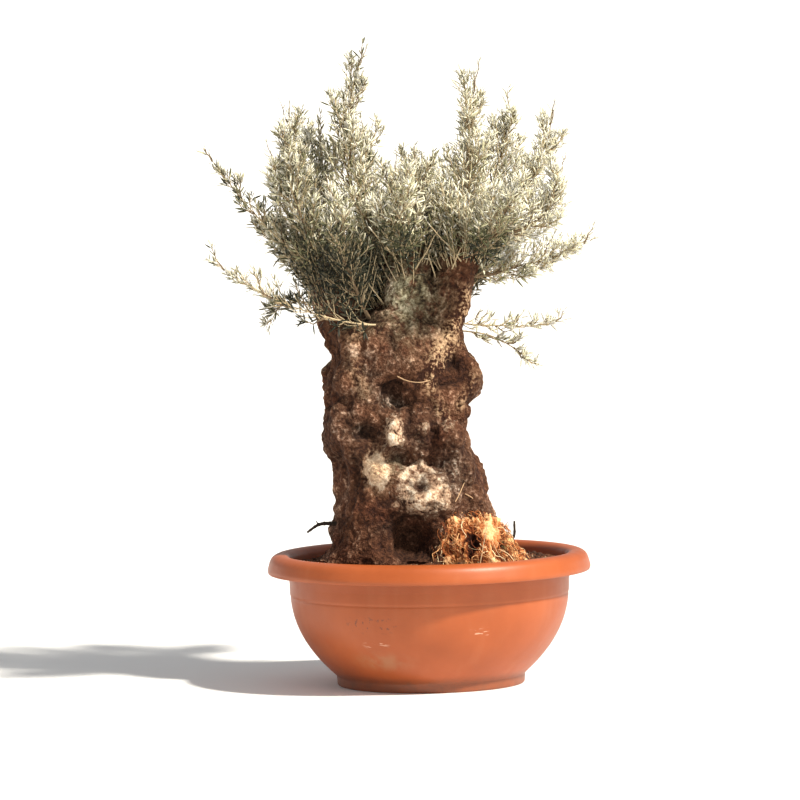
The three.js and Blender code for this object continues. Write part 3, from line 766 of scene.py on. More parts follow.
# Burls on the front: x, height, half width, half height, how far they stand out.
BURLS = [
    (-57, 478, 18, 24, 10), (-93, 409, 22, 30, 7), (-14, 351, 34, 20, 8), (8, 381, 22, 18, 6),
    (42, 467, 30, 30, 13), (-6, 473, 24, 34, 9), (60, 583, 34, 38, 8), (-160, 491, 22, 44, 6),
    (-129, 621, 26, 30, 8), (-142, 566, 26, 24, 6), (-92, 640, 26, 18, 6), (-40, 620, 30, 24, 7),
    (-92, 563, 24, 20, 5), (64, 400, 26, 28, 7), (-112, 360, 28, 32, 6), (-140, 296, 26, 24, 6),
    (56, 508, 26, 22, 6), (-30, 566, 28, 22, 5), (84, 330, 22, 30, 6),
]

# Hollows in the front: x, height, half width, half height, depth. The deeper ones are darkened with painted
# shade.
HOLLOWS = [
    (-68, 547, 27, 19, 11), (-46, 561, 20, 10, 4), (-114, 479, 18, 20, 10), (-53, 428, 17, 17, 9),
    (-32, 311, 30, 18, 8), (-30, 279, 42, 30, 9), (16, 424, 44, 10, 4), (32, 415, 28, 14, 6),
    (-14, 380, 18, 10, 11), (-34, 365, 10, 12, 6), (46, 595, 15, 20, 10), (-100, 580, 24, 8, 7),
    (-168, 430, 12, 26, 7), (-28, 491, 9, 34, 9), (18, 471, 7, 30, 9), (36, 555, 20, 8, 9),
    (-132, 400, 8, 26, 7), (-112, 689, 34, 14, 10), (-40, 527, 26, 8, 7), (18, 445, 22, 7, 6),
    (40, 661, 10, 20, 8), (6, 343, 12, 8, 7), (-88, 290, 14, 40, 5), (-66, 640, 8, 26, 7),
]

# Furrows and hollows in the left side: y, height, half width, half height, depth. The deeper ones are
# darkened with painted shade.
LEFT_HOLLOWS = [
    (-62, 560, 9, 60, 9), (-8, 606, 8, 42, 9), (52, 540, 10, 70, 10), (-32, 474, 18, 26, 9),
    (26, 430, 9, 60, 9), (-66, 380, 9, 60, 8), (4, 330, 20, 26, 10), (64, 360, 9, 70, 9),
    (-24, 272, 9, 34, 8), (40, 262, 12, 30, 8), (10, 520, 22, 12, 7), (-50, 420, 24, 9, 7),
]

# The hollow at the foot, darkened with painted shade: x, height, half width, half height.
CAVE = (-27, 268, 40, 52)

# Places where the skin is drawn in a little at the sides: x, height, half width, half height, how far.
DRAWN_IN = [(-190, 598, 30, 26, 10), (-188, 330, 34, 60, 9), (-205, 255, 40, 26, 13)]

# Lighter and darker stretches of the front: x, height, half width, half height, how much lighter.
TONES = [
    (-129, 621, 26, 34, 0.7), (-118, 566, 44, 18, 0.5), (-155, 471, 22, 60, 0.4), (-100, 521, 22, 34, 0.3),
    (-10, 541, 36, 40, -0.6), (-120, 594, 34, 8, -0.7), (-20, 479, 16, 44, -0.5), (42, 461, 28, 30, 0.5),
    (62, 412, 42, 70, -0.6), (-110, 300, 90, 50, -0.45), (-100, 246, 110, 16, -0.5), (104, 581, 18, 44, -0.9),
    (-40, 631, 44, 26, -0.25), (-30, 598, 34, 12, 0.2), (-120, 674, 50, 24, -1.1), (72, 587, 26, 26, -0.3),
    (-14, 366, 42, 38, 0.45), (-178, 541, 20, 120, -0.4), (20, 562, 60, 40, -0.4),
    (-60, 351, 30, 24, -0.4), (60, 321, 40, 40, -0.3),
]

# Pale worn wood, moss and lichen on the front: how strong, x, height, half width, half height.
PALE_SPOTS = [
    (1.1, -58, 474, 20, 30), (1.2, -92, 406, 22, 33), (1.0, -10, 360, 46, 44), (0.5, -4, 487, 14, 12),
    (0.42, 42, 485, 24, 16), (0.3, -130, 621, 24, 32),
]
MOSS_SPOTS = [(1.0, -26, 738, 58, 84), (0.7, -114, 678, 44, 26), (0.6, -60, 412, 18, 18)]
LICHEN_SPOTS = [
    (0.8, 52, 395, 36, 50), (0.9, -62, 526, 24, 14), (0.8, -56, 742, 34, 44), (0.9, 4, 345, 34, 22),
    (0.7, -8, 461, 20, 36), (0.5, -80, 298, 22, 12), (0.6, -120, 473, 26, 20),
]

# The ridges that the light catches, and how brightly.
BRIGHT_RIDGES = {
    "bright_ridge": 1.0, "right_strand": 0.85, "thin_strand": 0.6, "rim_strand": 0.5, "left_rib": 0.25,
}

RIDGE_STATIONS = 40
BURL_DEPTH = 16
VOXEL = 3.15

# Rays that look for the wood's front or back start this far from the axis.
RAY_START = 400


def station(table, height, column):
    """The solids' easing between stations: a cubic whose slope at each is that of its neighbours."""
    last = len(table) - 1
    k = np.clip(np.searchsorted(table[:, 0], height, side="left") - 1, 0, last - 1)
    p0, p1, p2, p3 = (table[np.clip(k + step, 0, last)] for step in (-1, 0, 1, 2))
    span = p2[..., 0] - p1[..., 0]
    t = np.clip((height - p1[..., 0]) / span, 0, 1)
    slope_in = (p2[..., column] - p0[..., column]) / (p2[..., 0] - p0[..., 0]) * span
    slope_out = (p3[..., column] - p1[..., column]) / (p3[..., 0] - p1[..., 0]) * span
    return ((2 * t ** 3 - 3 * t ** 2 + 1) * p1[..., column] + (t ** 3 - 2 * t ** 2 + t) * slope_in
            + (3 * t ** 2 - 2 * t ** 3) * p2[..., column] + (t ** 3 - t ** 2) * slope_out)


def trunk_middle_and_radius(angle, height):
    """The trunk's plan at a height is a superellipse between its four reaches. Flutes, strongest at
    the foot, and the bell-shaped knobs and hollows are added to its radius."""
    h = np.clip(height, SOIL_LEVEL, FORK_HEIGHT)
    left, right, front, back = (station(TRUNK_REACH, h, column) for column in (1, 2, 3, 4))
    power = 2.4
    plan = ((2 * np.abs(np.cos(angle)) / (right - left)) ** power
            + (2 * np.abs(np.sin(angle)) / (back - front)) ** power) ** (-1 / power)
    foot = np.exp(-(h - SOIL_LEVEL) / 60)
    push = (2.5 + 7 * foot) * np.sin(5 * angle + h / 70) + 3 * np.sin(9 * angle - h / 45)
    for degrees, level, round_, rise, out in TRUNK_KNOBS:
        turn = (angle - math.radians(degrees) + math.pi) % (2 * math.pi) - math.pi
        push = push + out * np.exp(-(turn * plan / round_) ** 2 - ((h - level) / rise) ** 2)
    return (left + right) / 2, (front + back) / 2, plan + push


def trunk_rings():
    """The trunk as rings from the soil to the fork, and a dome above."""
    straight = np.linspace(SOIL_LEVEL - 1.5, FORK_HEIGHT, 170)
    lift = np.linspace(0, math.pi / 2, 24)[1:-1]
    height = np.concatenate([straight, FORK_HEIGHT + CROWN_OF_TRUNK * np.sin(lift)])
    shrink = np.concatenate([np.ones(len(straight)), np.cos(lift)])
    h, a = crossed(height, turns(260))
    x, y, r = trunk_middle_and_radius(a, h)
    r = r * shrink[:, None]
    return np.stack([x + r * np.cos(a), y + r * np.sin(a), h], axis=-1)


def bough_radius(radii, share):
    """A bough's radius at a share of its way. It thins quickest at its root."""
    return mix(radii[0], radii[1], share ** 0.8)


def bough_rings(path, radii, rows=70, around=60):
    """A bough: rings round an arc, with the solids' lumps, a rounded end, and a ragged, knobbly top."""
    share = np.linspace(0, 1, rows)
    middle = on_arc(passing(*path), share)
    ahead = unit(np.gradient(middle, axis=0))
    side = unit(np.cross(ahead, ACROSS))
    over = np.cross(ahead, side)
    s, a = crossed(share, turns(around))
    lumps = 1 + 0.07 * np.sin(3 * a + 5 * s) + 0.04 * np.sin(5 * a - 7 * s)
    ended = np.sqrt(1 - np.clip((s - 0.86) / 0.16, 0, 1) ** 2)
    ragged = 1 + 0.16 * smooth_step(0.72, 0.95, s) * np.sin(4 * a + radii[0])
    r = bough_radius(radii, s) * lumps * ended * ragged
    ring = side[:, None] * np.cos(a)[..., None] + over[:, None] * np.sin(a)[..., None]
    return middle[:, None] + ring * r[..., None]


def ball(middle, half, rows=18, around=28):
    """An ellipsoid, by latitude and longitude."""
    lift, angle = crossed(np.linspace(-1.45, 1.45, rows), turns(around))
    return closed_skin(np.array(middle) + round_axis(np.cos(lift), angle, np.sin(lift)) * np.array(half))


def front_depth(tree, x, height, side=-1):
    """How far to the front the wood reaches at a place seen from the front, or to the back with side 1."""
    hit = tree.ray_cast(Vector((x, RAY_START * side, height)), Vector((0, -side, 0)))[0]
    return hit.y if hit else 0.0


def smooth_path(points, count):
    """Points spaced along a path through the given ones, eased by a cubic through the neighbours."""
    points = np.array(points, float)
    padded = np.concatenate([2 * points[:1] - points[1:2], points, 2 * points[-1:] - points[-2:-1]])
    place = np.linspace(0, len(points) - 1 - 1e-6, count)
    k = place.astype(int)
    t = (place - k)[:, None]
    p0, p1, p2, p3 = (padded[k + step] for step in range(4))
    return 0.5 * (2 * p1 + (p2 - p0) * t + (2 * p0 - 5 * p1 + 4 * p2 - p3) * t ** 2
                  + (3 * p1 - p0 - 3 * p2 + p3) * t ** 3)


def front_path(tree, places, count, sink=0.0, side=-1):
    """A path over the front of the wood through places given as (x, height), or over the back."""
    return smooth_path([(x, front_depth(tree, x, z, side) + sink, z) for x, z in places], count)


def bell(points, axis, middle, height, half, half_height):
    """1 at a place, falling off as a bell along an axis and in height."""
    return np.exp(-((points[:, axis] - middle) / half) ** 2 - ((points[:, 2] - height) / half_height) ** 2)


def spot(points, x, height, half_x, half_z):
    """1 at a place on the front, falling off as a bell, and 0 at the back."""
    return bell(points, 0, x, height, half_x, half_z) * smooth_step(10, -30, points[:, 1])


def strongest(points, spots):
    """The strongest of several spots at each point."""
    return np.maximum.reduce([amount * spot(points, *place) for amount, *place in spots])


def near_path(points, path, reach):
    """1 on a path, falling off as a bell with the distance to it."""
    away = np.min(np.linalg.norm(points[:, None] - path[None], axis=-1), axis=1)
    return np.exp(-(away / reach) ** 2)


def fused_wood():
    """Trunk, boughs, ridges and burls as closed shells, fused into one skin by a fine voxel remesh.
    The plain wood under them says how far to the front each place lies."""
    wood = [closed_skin(trunk_rings())] + [closed_skin(bough_rings(*bough)) for bough in BOUGHS.values()]
    points, faces = joined(wood)
    tree = BVHTree.FromPolygons(points.tolist(), plain_faces(faces))
    ridge_paths = {}
    swell = np.sin(np.linspace(0.12, math.pi - 0.12, RIDGE_STATIONS)) ** 0.5
    for name, (places, radius) in RIDGES.items():
        path = front_path(tree, places, RIDGE_STATIONS, side=1 if name.startswith("back") else -1)
        wobble = 1 + 0.22 * np.sin(np.arange(RIDGE_STATIONS) * 0.9 + radius)
        wood.append(tubes(path[None], (radius * swell * wobble)[None], 14))
        ridge_paths[name] = path
    for x, z, half_x, half_z, out in BURLS:
        middle = (x, front_depth(tree, x, z) + BURL_DEPTH - out * 0.6, z)
        wood.append(ball(middle, (half_x, BURL_DEPTH + out * 0.4, half_z)))
    mesh = finished(shell_mesh("wood", *joined(wood)), [
        ("REMESH", {"mode": "VOXEL", "voxel_size": VOXEL * MM}),
        ("SMOOTH", {"factor": 0.5, "iterations": 3}),
    ])
    return mesh, tree, ridge_paths


def bark_hollows_and_painted_shade(points, near):
    """How far each point is sunk, and how much painted shade darkens it there: by the depth of each hollow,
    and in the cave.
    """
    sunk = [(spot(near, *place), depth) for *place, depth in HOLLOWS]
    on_left = smooth_step(-120, -150, points[:, 0])
    sunk += [(bell(near, 1, *place) * on_left, depth) for *place, depth in LEFT_HOLLOWS]
    cave = smooth_step(0.30, 0.62, spot(near, *CAVE))
    hollow = sum(depth * here for here, depth in sunk) + 7 * cave
    for *place, depth in DRAWN_IN:
        hollow += depth * bell(points, 0, *place)
    # Painted shade, strongest in the cave and in the deepest hollows.
    dark = np.maximum.reduce([0.46 * cave] + [here * min(depth / 15, 1) for here, depth in sunk])
    return hollow, dark


def bark_finish_places(points, near, close, ridge_paths, dark):
    """How strongly each finish shows at each point, how much painted shade darkens the bark, and how light or
    dark its own tone is there.
    """
    strand = {name: near_path(close, ridge_paths[name], 1.15 * RIDGES[name][1] + 3)
              for name in (*BRIGHT_RIDGES, "pale_arm", "lump_rim")}
    # Painted highlight along the ridges that the light catches, and a yellow tint on the pale wood at one
    # spot.
    bright = [amount * strand[name] for name, amount in BRIGHT_RIDGES.items()]
    gold = np.maximum.reduce([*bright, 0.9 * spot(close, -92, 406, 18, 28)])
    arm = 0.45 * strand["pale_arm"] * smooth_step(505, 488, points[:, 2])
    pale = np.maximum.reduce([strongest(close, PALE_SPOTS), arm, 0.8 * strand["lump_rim"]])
    behind = 0.7 * smooth_step(0.1, 0.7, cloud(points, 40, 91)) * smooth_step(0, 60, points[:, 1])
    moss = np.maximum(strongest(near, MOSS_SPOTS), behind)
    scattered = 0.28 * smooth_step(0.0, 0.8, cloud(points, 55, 95))
    lichen = np.maximum(strongest(near, LICHEN_SPOTS), scattered)
    rust = (0.5 + 0.6 * cloud(points, 90, 97) + 0.8 * spot(points, -110, 290, 90, 80)
            + 0.8 * spot(points, 60, 760, 60, 90) + 0.6 * spot(near, 42, 457, 26, 20))
    # Painted shade: the hollows' darkness, and the wood above 790 mm darkened where the crown shades it.
    sunk = np.clip(np.maximum(dark, 0.7 * smooth_step(790, 840, points[:, 2])), 0, 0.85)
    tone = sum(amount * spot(near, *place) for *place, amount in TONES) + 0.35 * cloud(points, 75, 99, 2)
    return {"gold": gold, "pale": np.clip(pale, 0, 1) * (1 - sunk), "moss": moss * (1 - gold),
            "lichen": lichen * (1 - gold), "rust": np.clip(rust, 0, 1), "dark": sunk, "tone": tone}


def make_trunk():
    """The fused wood, pushed along its normals by the bark's swellings, warts, beads and pits, and
    sunk at the hollows. What shapes it colours it too, through attributes."""
    mesh, tree, ridge_paths = fused_wood()
    points, normals = vertex_values(mesh, "co") / MM, vertex_values(mesh, "normal")
    warp, ripple = drift(points, 60, 11), drift(points, 17, 14)
    swellings = cloud(points + 12 * warp, 52, 21, 2)
    warts = billowed((points + 14 * warp + 4 * ripple) * (1, 1, 0.72), 30, 31)
    beads = billowed((points + 5 * ripple) * (1, 1, 0.8), 11, 41)
    pits = lattice_noise(points, 5, 51)
    near = points + 9 * warp + 5 * ripple
    hollow, dark = bark_hollows_and_painted_shade(points, near)
    strength = mix(1.0, 0.7, smooth_step(640, 760, points[:, 2]))
    push = 5.5 * swellings + strength * (2.6 * warts + 1.3 * beads + 0.8 * pits) - 1.15 * hollow
    points = points + normals * push[:, None]
    points[:, 2] = np.maximum(points[:, 2], SOIL_LEVEL - 3)
    mesh.vertices.foreach_set("co", (points * MM).astype(np.float32).ravel())
    mesh.update()

    # The relief also colours the bark: darker furrows and lighter crests, partly its own tone, partly painted
    # shade and light.
    relief = 0.5 + 0.20 * warts + 0.17 * beads + 0.10 * pits + 0.16 * swellings
    set_attribute(mesh, "relief", np.clip(relief, 0, 1))
    close = points + 3 * warp + 3 * ripple
    for name, values in bark_finish_places(points, near, close, ridge_paths, dark).items():
        set_attribute(mesh, name, values)
    add_piece("bark", mesh, [bark_finish()], ["trunk", *BOUGHS])
    return tree


# The root clump, the twigs at the trunk's foot and the straw on its front

CLUMP_MIDDLE = (84, -102)
CLUMP_HALF = (82, 70)
CLUMP_LEAN = (-36, 36)
CLUMP_HEIGHT = 100
CLUMP_HOLE = (80, 280)
CLUMP_SIDE = 9

# The tones of the fibres, each with the share of the fibres that has it.
FIBRE_TONES = {(186, 108, 58): 0.38, (112, 58, 32): 0.30, (232, 174, 118): 0.23, (250, 222, 176): 0.09}


def clump_point(angle, lift, grow=0.0):
    """The mound of old roots: a dome over a lumpy ellipse that leans back on the trunk's foot."""
    width = np.cos(lift) ** 0.9
    lumps = 1 + 0.1 * np.sin(4 * angle + 3 * lift) + 0.07 * np.sin(7 * angle - 5 * lift)
    rise = np.sin(lift)
    plan = [middle + (half * lumps + grow) * width * wave(angle) + lean * rise for middle, half, lean, wave
            in zip(CLUMP_MIDDLE, CLUMP_HALF, CLUMP_LEAN, (np.cos, np.sin))]
    return np.stack([*plan, SOIL_LEVEL + (CLUMP_HEIGHT + grow) * rise], axis=-1)


def torn_root_finish():
    """Torn root: orange and cream crests over dark hollows; the hole's darkness is painted shade, and one
    cream lobe is partly a painted highlight.
    """
    f = Finish("torn_root", srgb(132, 78, 44), 0.92, 0.15)
    level = f.plus(f.times(f.attribute("relief"), 0.6), f.times(f.noise(120, 5, 0.7), 0.5))
    base = f.tinted(level, (0.34, 40, 18, 11), (0.46, 124, 64, 32), (0.56, 198, 128, 76),
                    (0.70, 246, 200, 146))
    # A cream yellow lobe: partly its own colour, partly a painted highlight where the light catches it.
    cream = f.times(f.patch((160, -122, 268), (34, 56, 28)), f.step(f.noise(90, 4), 0.35, 0.55))
    f.drive("Base Color", f.blend(cream, base, srgb(240, 214, 146)))
    f.bump(f.noise(300, 5, 0.7), 3.0, 0.9)
    return f.material


def make_root_mound():
    """The torn mound: crests, shreds and one hole, pushed out from its foot's middle."""
    lift, angle = crossed(np.linspace(-0.06, 1.5, 150), turns(300))
    rings = clump_point(angle, lift)
    flat = rings.reshape(-1, 3)
    warped = flat + 8 * drift(flat, 26, 106)
    crests = ridged(warped * (1, 1, 0.45), 24, 103)
    shreds = ridged(warped * (1, 1, 0.25), 8, 104)
    hole = bell(flat, 0, *CLUMP_HOLE, 15, 17)
    sunk = 24 * hole * smooth_step(-110, -130, flat[:, 1])
    torn = 9 * cloud(flat, 36, 101, 2) + 8 * crests + 3 * shreds - sunk
    outward = unit(flat - (*CLUMP_MIDDLE, SOIL_LEVEL))
    rings = (flat + outward * (torn - 4)[:, None]).reshape(rings.shape)
    rings[..., 0] = np.maximum(rings[..., 0], CLUMP_SIDE)
    mesh = shell_mesh("mound", *closed_skin(rings))
    # The relief also colours the mound: crests lighter and folds darker, partly its own tone, and the hole
    # darkened as painted shade.
    relief = np.clip(0.5 + 0.32 * crests + 0.2 * shreds - 0.6 * hole, 0, 1)
    set_attribute(mesh, "relief", np.append(relief, [0.5, 0.5]))
    add_piece("root_mound", mesh, [torn_root_finish()], ["root_clump"])


def make_root_fibres():
    """Short, tangled fibres over the mound, most of which run down its side."""
    rng = np.random.default_rng(21)
    count = 1300
    along = np.linspace(0, 1, 8)[None]
    first = rng.random((count, 1)) * 2 * math.pi
    high = mix(0.02, 1.35, rng.random((count, 1)))
    fall = mix(-0.18, 0.42, rng.random((count, 1)) ** 1.3)
    aside = mix(-0.26, 0.26, rng.random((count, 1)))
    phase = rng.random((count, 3, 1)) * 6
    turn = first + aside * along + 0.04 * np.sin(8 * along + phase[:, 0])
    rise = np.clip(high - fall * along + 0.03 * np.sin(7 * along + phase[:, 1]), -0.03, 1.45)
    arch = np.sin(along * math.pi)
    proud = mix(-3, 4, rng.random((count, 1))) + mix(0, 9, rng.random((count, 1)) ** 2) * arch
    paths = clump_point(turn, rise, proud + 1.3 * np.sin(9 * along + phase[:, 2]))
    over_hole = np.hypot(*(paths[:, 4, (0, 2)] - CLUMP_HOLE).T) < 19
    paths = paths[(paths[:, :, 0].min(axis=1) > CLUMP_SIDE - 5) & ~over_hole]
    count = len(paths)
    thick = mix(0.45, 1.0, rng.random((count, 1)) ** 2)
    points, faces = tubes(paths, thick * mix(1, 0.4, along), 5)
    finishes = [plain_finish(f"root_fibre_{k}", srgb(*tone), 0.9, 0.25)
                for k, tone in enumerate(FIBRE_TONES)]
    dealt = rng.choice(len(finishes), count, p=list(FIBRE_TONES.values()))
    fibres = shell_mesh("fibres", points, faces)
    dealt = np.repeat(dealt, len(faces) // count)
    add_piece("root_fibres", fibres, finishes, ["root_clump"], dealt)


# Dead twigs: the way of each, and its radius at the start and the end.
DEAD_TWIGS = {
    "dead_twig_left": ([(-168, -30, 302), (-200, -36, 302), (-224, -44, 288)], (4, 2)),
    "dead_twig_right": ([(120, 20, 262), (156, 8, 266), (160, 4, 298)], (3.6, 1.8)),
}
TWIG_STATIONS = 40
SPUR_STATION = 22
SPUR_LENGTH = 13
SPUR_LEAN = (0, -14, 16)

# Thin straws caught on the bark: places as (x, height), seen from the front.
STRAWS = [
    [(-52, 577), (-34, 569), (-12, 566), (8, 569)],
    [(46, 340), (56, 357), (63, 371), (69, 382)],
    [(68, 358), (80, 351), (92, 339), (103, 327)],
]

# A longer straw that stands in the soil and leans on the root clump.
LEANING_STRAW = [(91, -184, 233), (96, -176, 256), (101, -166, 280), (107, -152, 305)]


def make_dead_twigs(finish):
    """Each dead twig is one tapering tube with a few knots and a short broken spur."""
    for name, (path, radii) in DEAD_TWIGS.items():
        way = smooth_path(path, TWIG_STATIONS)
        share = np.linspace(0, 1, TWIG_STATIONS)
        knots = 1 + 0.22 * np.sin(share * 19 + radii[0]) ** 8
        radius = mix(radii[0], radii[1], share) * knots
        heading = unit(way[SPUR_STATION + 2] - way[SPUR_STATION - 2] + SPUR_LEAN)
        spur = way[SPUR_STATION] + heading * (share * SPUR_LENGTH)[:, None]
        points, faces = tubes(np.stack([way, spur]), np.stack([radius, mix(1.6, 0.7, share)]), 12)
        add_piece(f"{name}_wood", shell_mesh(name, points, faces), [finish], [name])


def make_straws(tree, finish):
    """Pale straws that touch the bark at both ends and bow out between."""
    share = np.linspace(0, 1, 24)
    bow = np.sin(share * math.pi)[:, None] * np.array([0, -9, 0])
    ways = [front_path(tree, places, 24, -2) + bow for places in STRAWS] + [smooth_path(LEANING_STRAW, 24)]
    points, faces = tubes(np.stack(ways), mix(1.2, 0.7, share)[None] * np.ones((len(ways), 1)), 6)
    add_piece("straws", shell_mesh("straws", points, faces), [finish], ["trunk"])


# The foliage

# Each mass: its limb, its stem's root from that limb's tip, a middle point, its tip, how far its
# twigs spread, and how many there are.
TRUNK_TIP = (-66, 0, 690)
MASSES = {
    "left_whip": ("bough_left", (-18, -2, -22), (-300, -50, 868), (-400, -70, 1000), 46, 7),
    "left_outer": ("bough_left", (-14, 14, -22), (-246, 40, 868), (-262, 26, 975), 80, 6),
    "left_front": ("bough_left", (-10, -12, -20), (-232, -74, 910), (-240, -56, 1075), 80, 8),
    "left_inner": ("bough_left", (6, 10, -20), (-180, 40, 900), (-190, 34, 1045), 76, 6),
    "left_droop": ("trunk", (-100, -30, -4), (-246, -92, 716), (-286, -90, 666), 40, 5),
    "left_spray": ("trunk", (-11, -80, -20), (-235, -172, 708), (-393, -150, 800), 62, 8),
    "front_left": ("trunk", (-38, -62, -4), (-146, -168, 800), (-164, -196, 920), 84, 7),
    "front_centre": ("bough_centre", (-6, -22, -30), (-46, -158, 858), (-52, -184, 946), 84, 7),
    "centre_tall": ("bough_centre", (-18, -6, -20), (-138, -34, 970), (-94, -20, 1186), 84, 9),
    "centre_front": ("bough_centre", (6, -14, -20), (-22, -76, 884), (-14, -66, 962), 84, 6),
    "centre_back": ("bough_centre", (6, 16, -20), (-6, 66, 872), (6, 72, 955), 84, 6),
    "right_tall": ("bough_right", (-4, -6, -20), (88, -40, 976), (100, -26, 1124), 80, 8),
    "right_back": ("bough_right", (4, 14, -20), (142, 62, 946), (160, 58, 1068), 78, 6),
    "right_outer": ("bough_right", (14, 2, -22), (198, -4, 926), (242, -10, 1054), 76, 7),
    "right_side": ("bough_right", (12, -10, -16), (214, -70, 856), (250, -60, 956), 74, 7),
    "right_low": ("bough_right", (-6, 0, -96), (196, -34, 774), (318, -40, 822), 66, 7),
    "right_front": ("bough_right", (0, -16, -52), (132, -150, 840), (166, -186, 944), 86, 7),
    "right_sprig": ("trunk", (104, -24, -16), (158, -58, 662), (264, -60, 674), 40, 6),
    "right_sprig_low": ("trunk", (104, -4, -34), (139, -30, 636), (201, -30, 582), 34, 5),
    "back_left": ("bough_back_left", (-8, 4, -20), (-218, 166, 896), (-226, 172, 1028), 82, 6),
    "back_centre": ("bough_back_left", (8, 6, -20), (-106, 184, 902), (-112, 184, 1050), 86, 6),
    "back_right": ("bough_back_right", (-4, 6, -20), (66, 190, 892), (110, 190, 1012), 84, 6),
    "back_outer": ("bough_back_right", (12, 2, -22), (164, 156, 872), (204, 154, 968), 80, 6),
    "back_low_left": ("bough_back_left", (-8, -8, -34), (-244, 150, 790), (-304, 150, 862), 70, 6),
    "back_low": ("bough_back_left", (14, 2, -36), (-66, 228, 806), (-54, 276, 900), 84, 6),
    "back_low_right": ("bough_back_right", (14, 0, -40), (140, 216, 786), (200, 256, 872), 76, 6),
}

# Long bare shoots that cross the fork: root and tip as (x, height), seen from the front.
CROSSING_SHOOTS = {
    "trunk": [((-74, 706), (-166, 826)), ((-118, 690), (-84, 804))],
    "bough_centre": [((-40, 776), (-100, 850)), ((22, 752), (-8, 858)), ((-16, 768), (34, 850))],
    "bough_right": [((69, 784), (8, 856)), ((52, 770), (96, 862))],
}

# How many young shoots a limb sends out, and how far from all wood they keep.
USUAL_SUCKERS = (160, 8)
SUCKERS = {"trunk": (260, 2), "bough_right": (520, 4)}

# The front of the fork stays bare up to these heights, at these places across.
BARE_PLACES = [-170, -90, -60, 10, 40, 110]
BARE_HEIGHTS = [692, 700, 735, 745, 768, 776]

# Masses that reach this far are full and bushy. The others are thin sprays.
FULL_REACH = 65

# Masses whose leaves are darkened as painted shade, and those whose leaves are painted as sunlit even near
# the trunk.
SHADED_MASSES = {"left_whip": 0.62, "left_droop": 0.62, "left_spray": 0.72}
SUNLIT = ("right_sprig", "right_sprig_low", "right_low")


def limb_tip(limb):
    """The point from which the roots of a limb's stems are measured."""
    return np.array(TRUNK_TIP if limb == "trunk" else BOUGHS[limb][0][2], float)


def heading_of(arcs, t):
    """Unit directions of arcs at shares of their way."""
    t = np.asarray(t, float)[..., None]
    return unit((1 - t) * (arcs[..., 1, :] - arcs[..., 0, :]) + t * (arcs[..., 2, :] - arcs[..., 1, :]))


def arc_length(arcs):
    """The length of arcs: the mean of their two control lines together and their chord."""
    chords = np.linalg.norm(np.diff(arcs, axis=-2), axis=-1).sum(axis=-1)
    straight = np.linalg.norm(arcs[..., 2, :] - arcs[..., 0, :], axis=-1)
    return (chords + straight) / 2


def square_to(along):
    """Two directions square to each line and to each other."""
    reference = np.where(np.abs(along[..., 2:]) > 0.9, ACROSS, UP)
    side = unit(np.cross(along, reference))
    return side, np.cross(along, side)


def leaning(along, turn, spread):
    """Directions that leave lines at an angle, turned round them."""
    side, over = square_to(along)
    turn, spread = np.asarray(turn)[..., None], np.asarray(spread)[..., None]
    return along * np.cos(spread) + (side * np.cos(turn) + over * np.sin(turn)) * np.sin(spread)


STEMS = np.array([passing(limb_tip(limb) + root, through, tip)
                  for limb, root, through, tip, _, _ in MASSES.values()])
REACHES = np.array([mass[4] for mass in MASSES.values()], float)
STEM_SAMPLES = np.stack([on_arc(STEMS, np.full(len(STEMS), t)) for t in np.linspace(0, 1, 21)], axis=1)
LIMB_SHARES = np.linspace(0, 1, 11)
LIMB_SAMPLES = np.concatenate([on_arc(passing(*path), LIMB_SHARES) for path, _ in BOUGHS.values()])
LIMB_RADII = np.concatenate([bough_radius(radii, LIMB_SHARES) * 1.12 for _, radii in BOUGHS.values()])


def in_own_space(points, index, margin=4.0):
    """Where a mass's own stem, less a third of its reach, is the nearest of all stems."""
    away = np.stack([
        np.linalg.norm(points[:, None] - samples[None], axis=-1).min(axis=1) for samples in STEM_SAMPLES])
    own = away[index] - REACHES[index] / 3
    free = (away > 10) & (away - REACHES[:, None] / 3 > own + margin)
    free[index] = True
    return free.all(axis=0)


def clear_of_limbs(points, room=3.0):
    """Outside the boughs and the trunk, with a little room."""
    away = np.linalg.norm(points[:, None] - LIMB_SAMPLES[None], axis=-1) - LIMB_RADII
    outside = away.min(axis=1) > room
    h = points[:, 2]
    middle, _, _ = trunk_middle_and_radius(np.zeros(len(points)), h)
    angle = np.arctan2(points[:, 1], points[:, 0] - middle)
    x, y, r = trunk_middle_and_radius(angle, h)
    bark = np.stack([x + (r + room) * np.cos(angle) - middle, y + (r + room) * np.sin(angle)], axis=-1)
    from_axis = np.hypot(points[:, 0] - middle, points[:, 1])
    above = h > FORK_HEIGHT + CROWN_OF_TRUNK + room
    return outside & (above | (from_axis > np.linalg.norm(bark, axis=-1)))


def grown_from(start, heading, length):
    """An arc that runs straight for half its length, and then bends up to the light."""
    length = np.asarray(length)[..., None]
    knee = start + 0.5 * length * heading
    tip = knee + 0.28 * length * heading + 0.27 * length * UP
    return np.stack([start, knee, tip], axis=-2)


def branch(parents, share, turn, spread, length):
    """The solids' rule for one generation: an arc leaves its parent at a share of its way, turned
    round it and spread from it."""
    return grown_from(on_arc(parents, share), leaning(heading_of(parents, share), turn, spread), length)


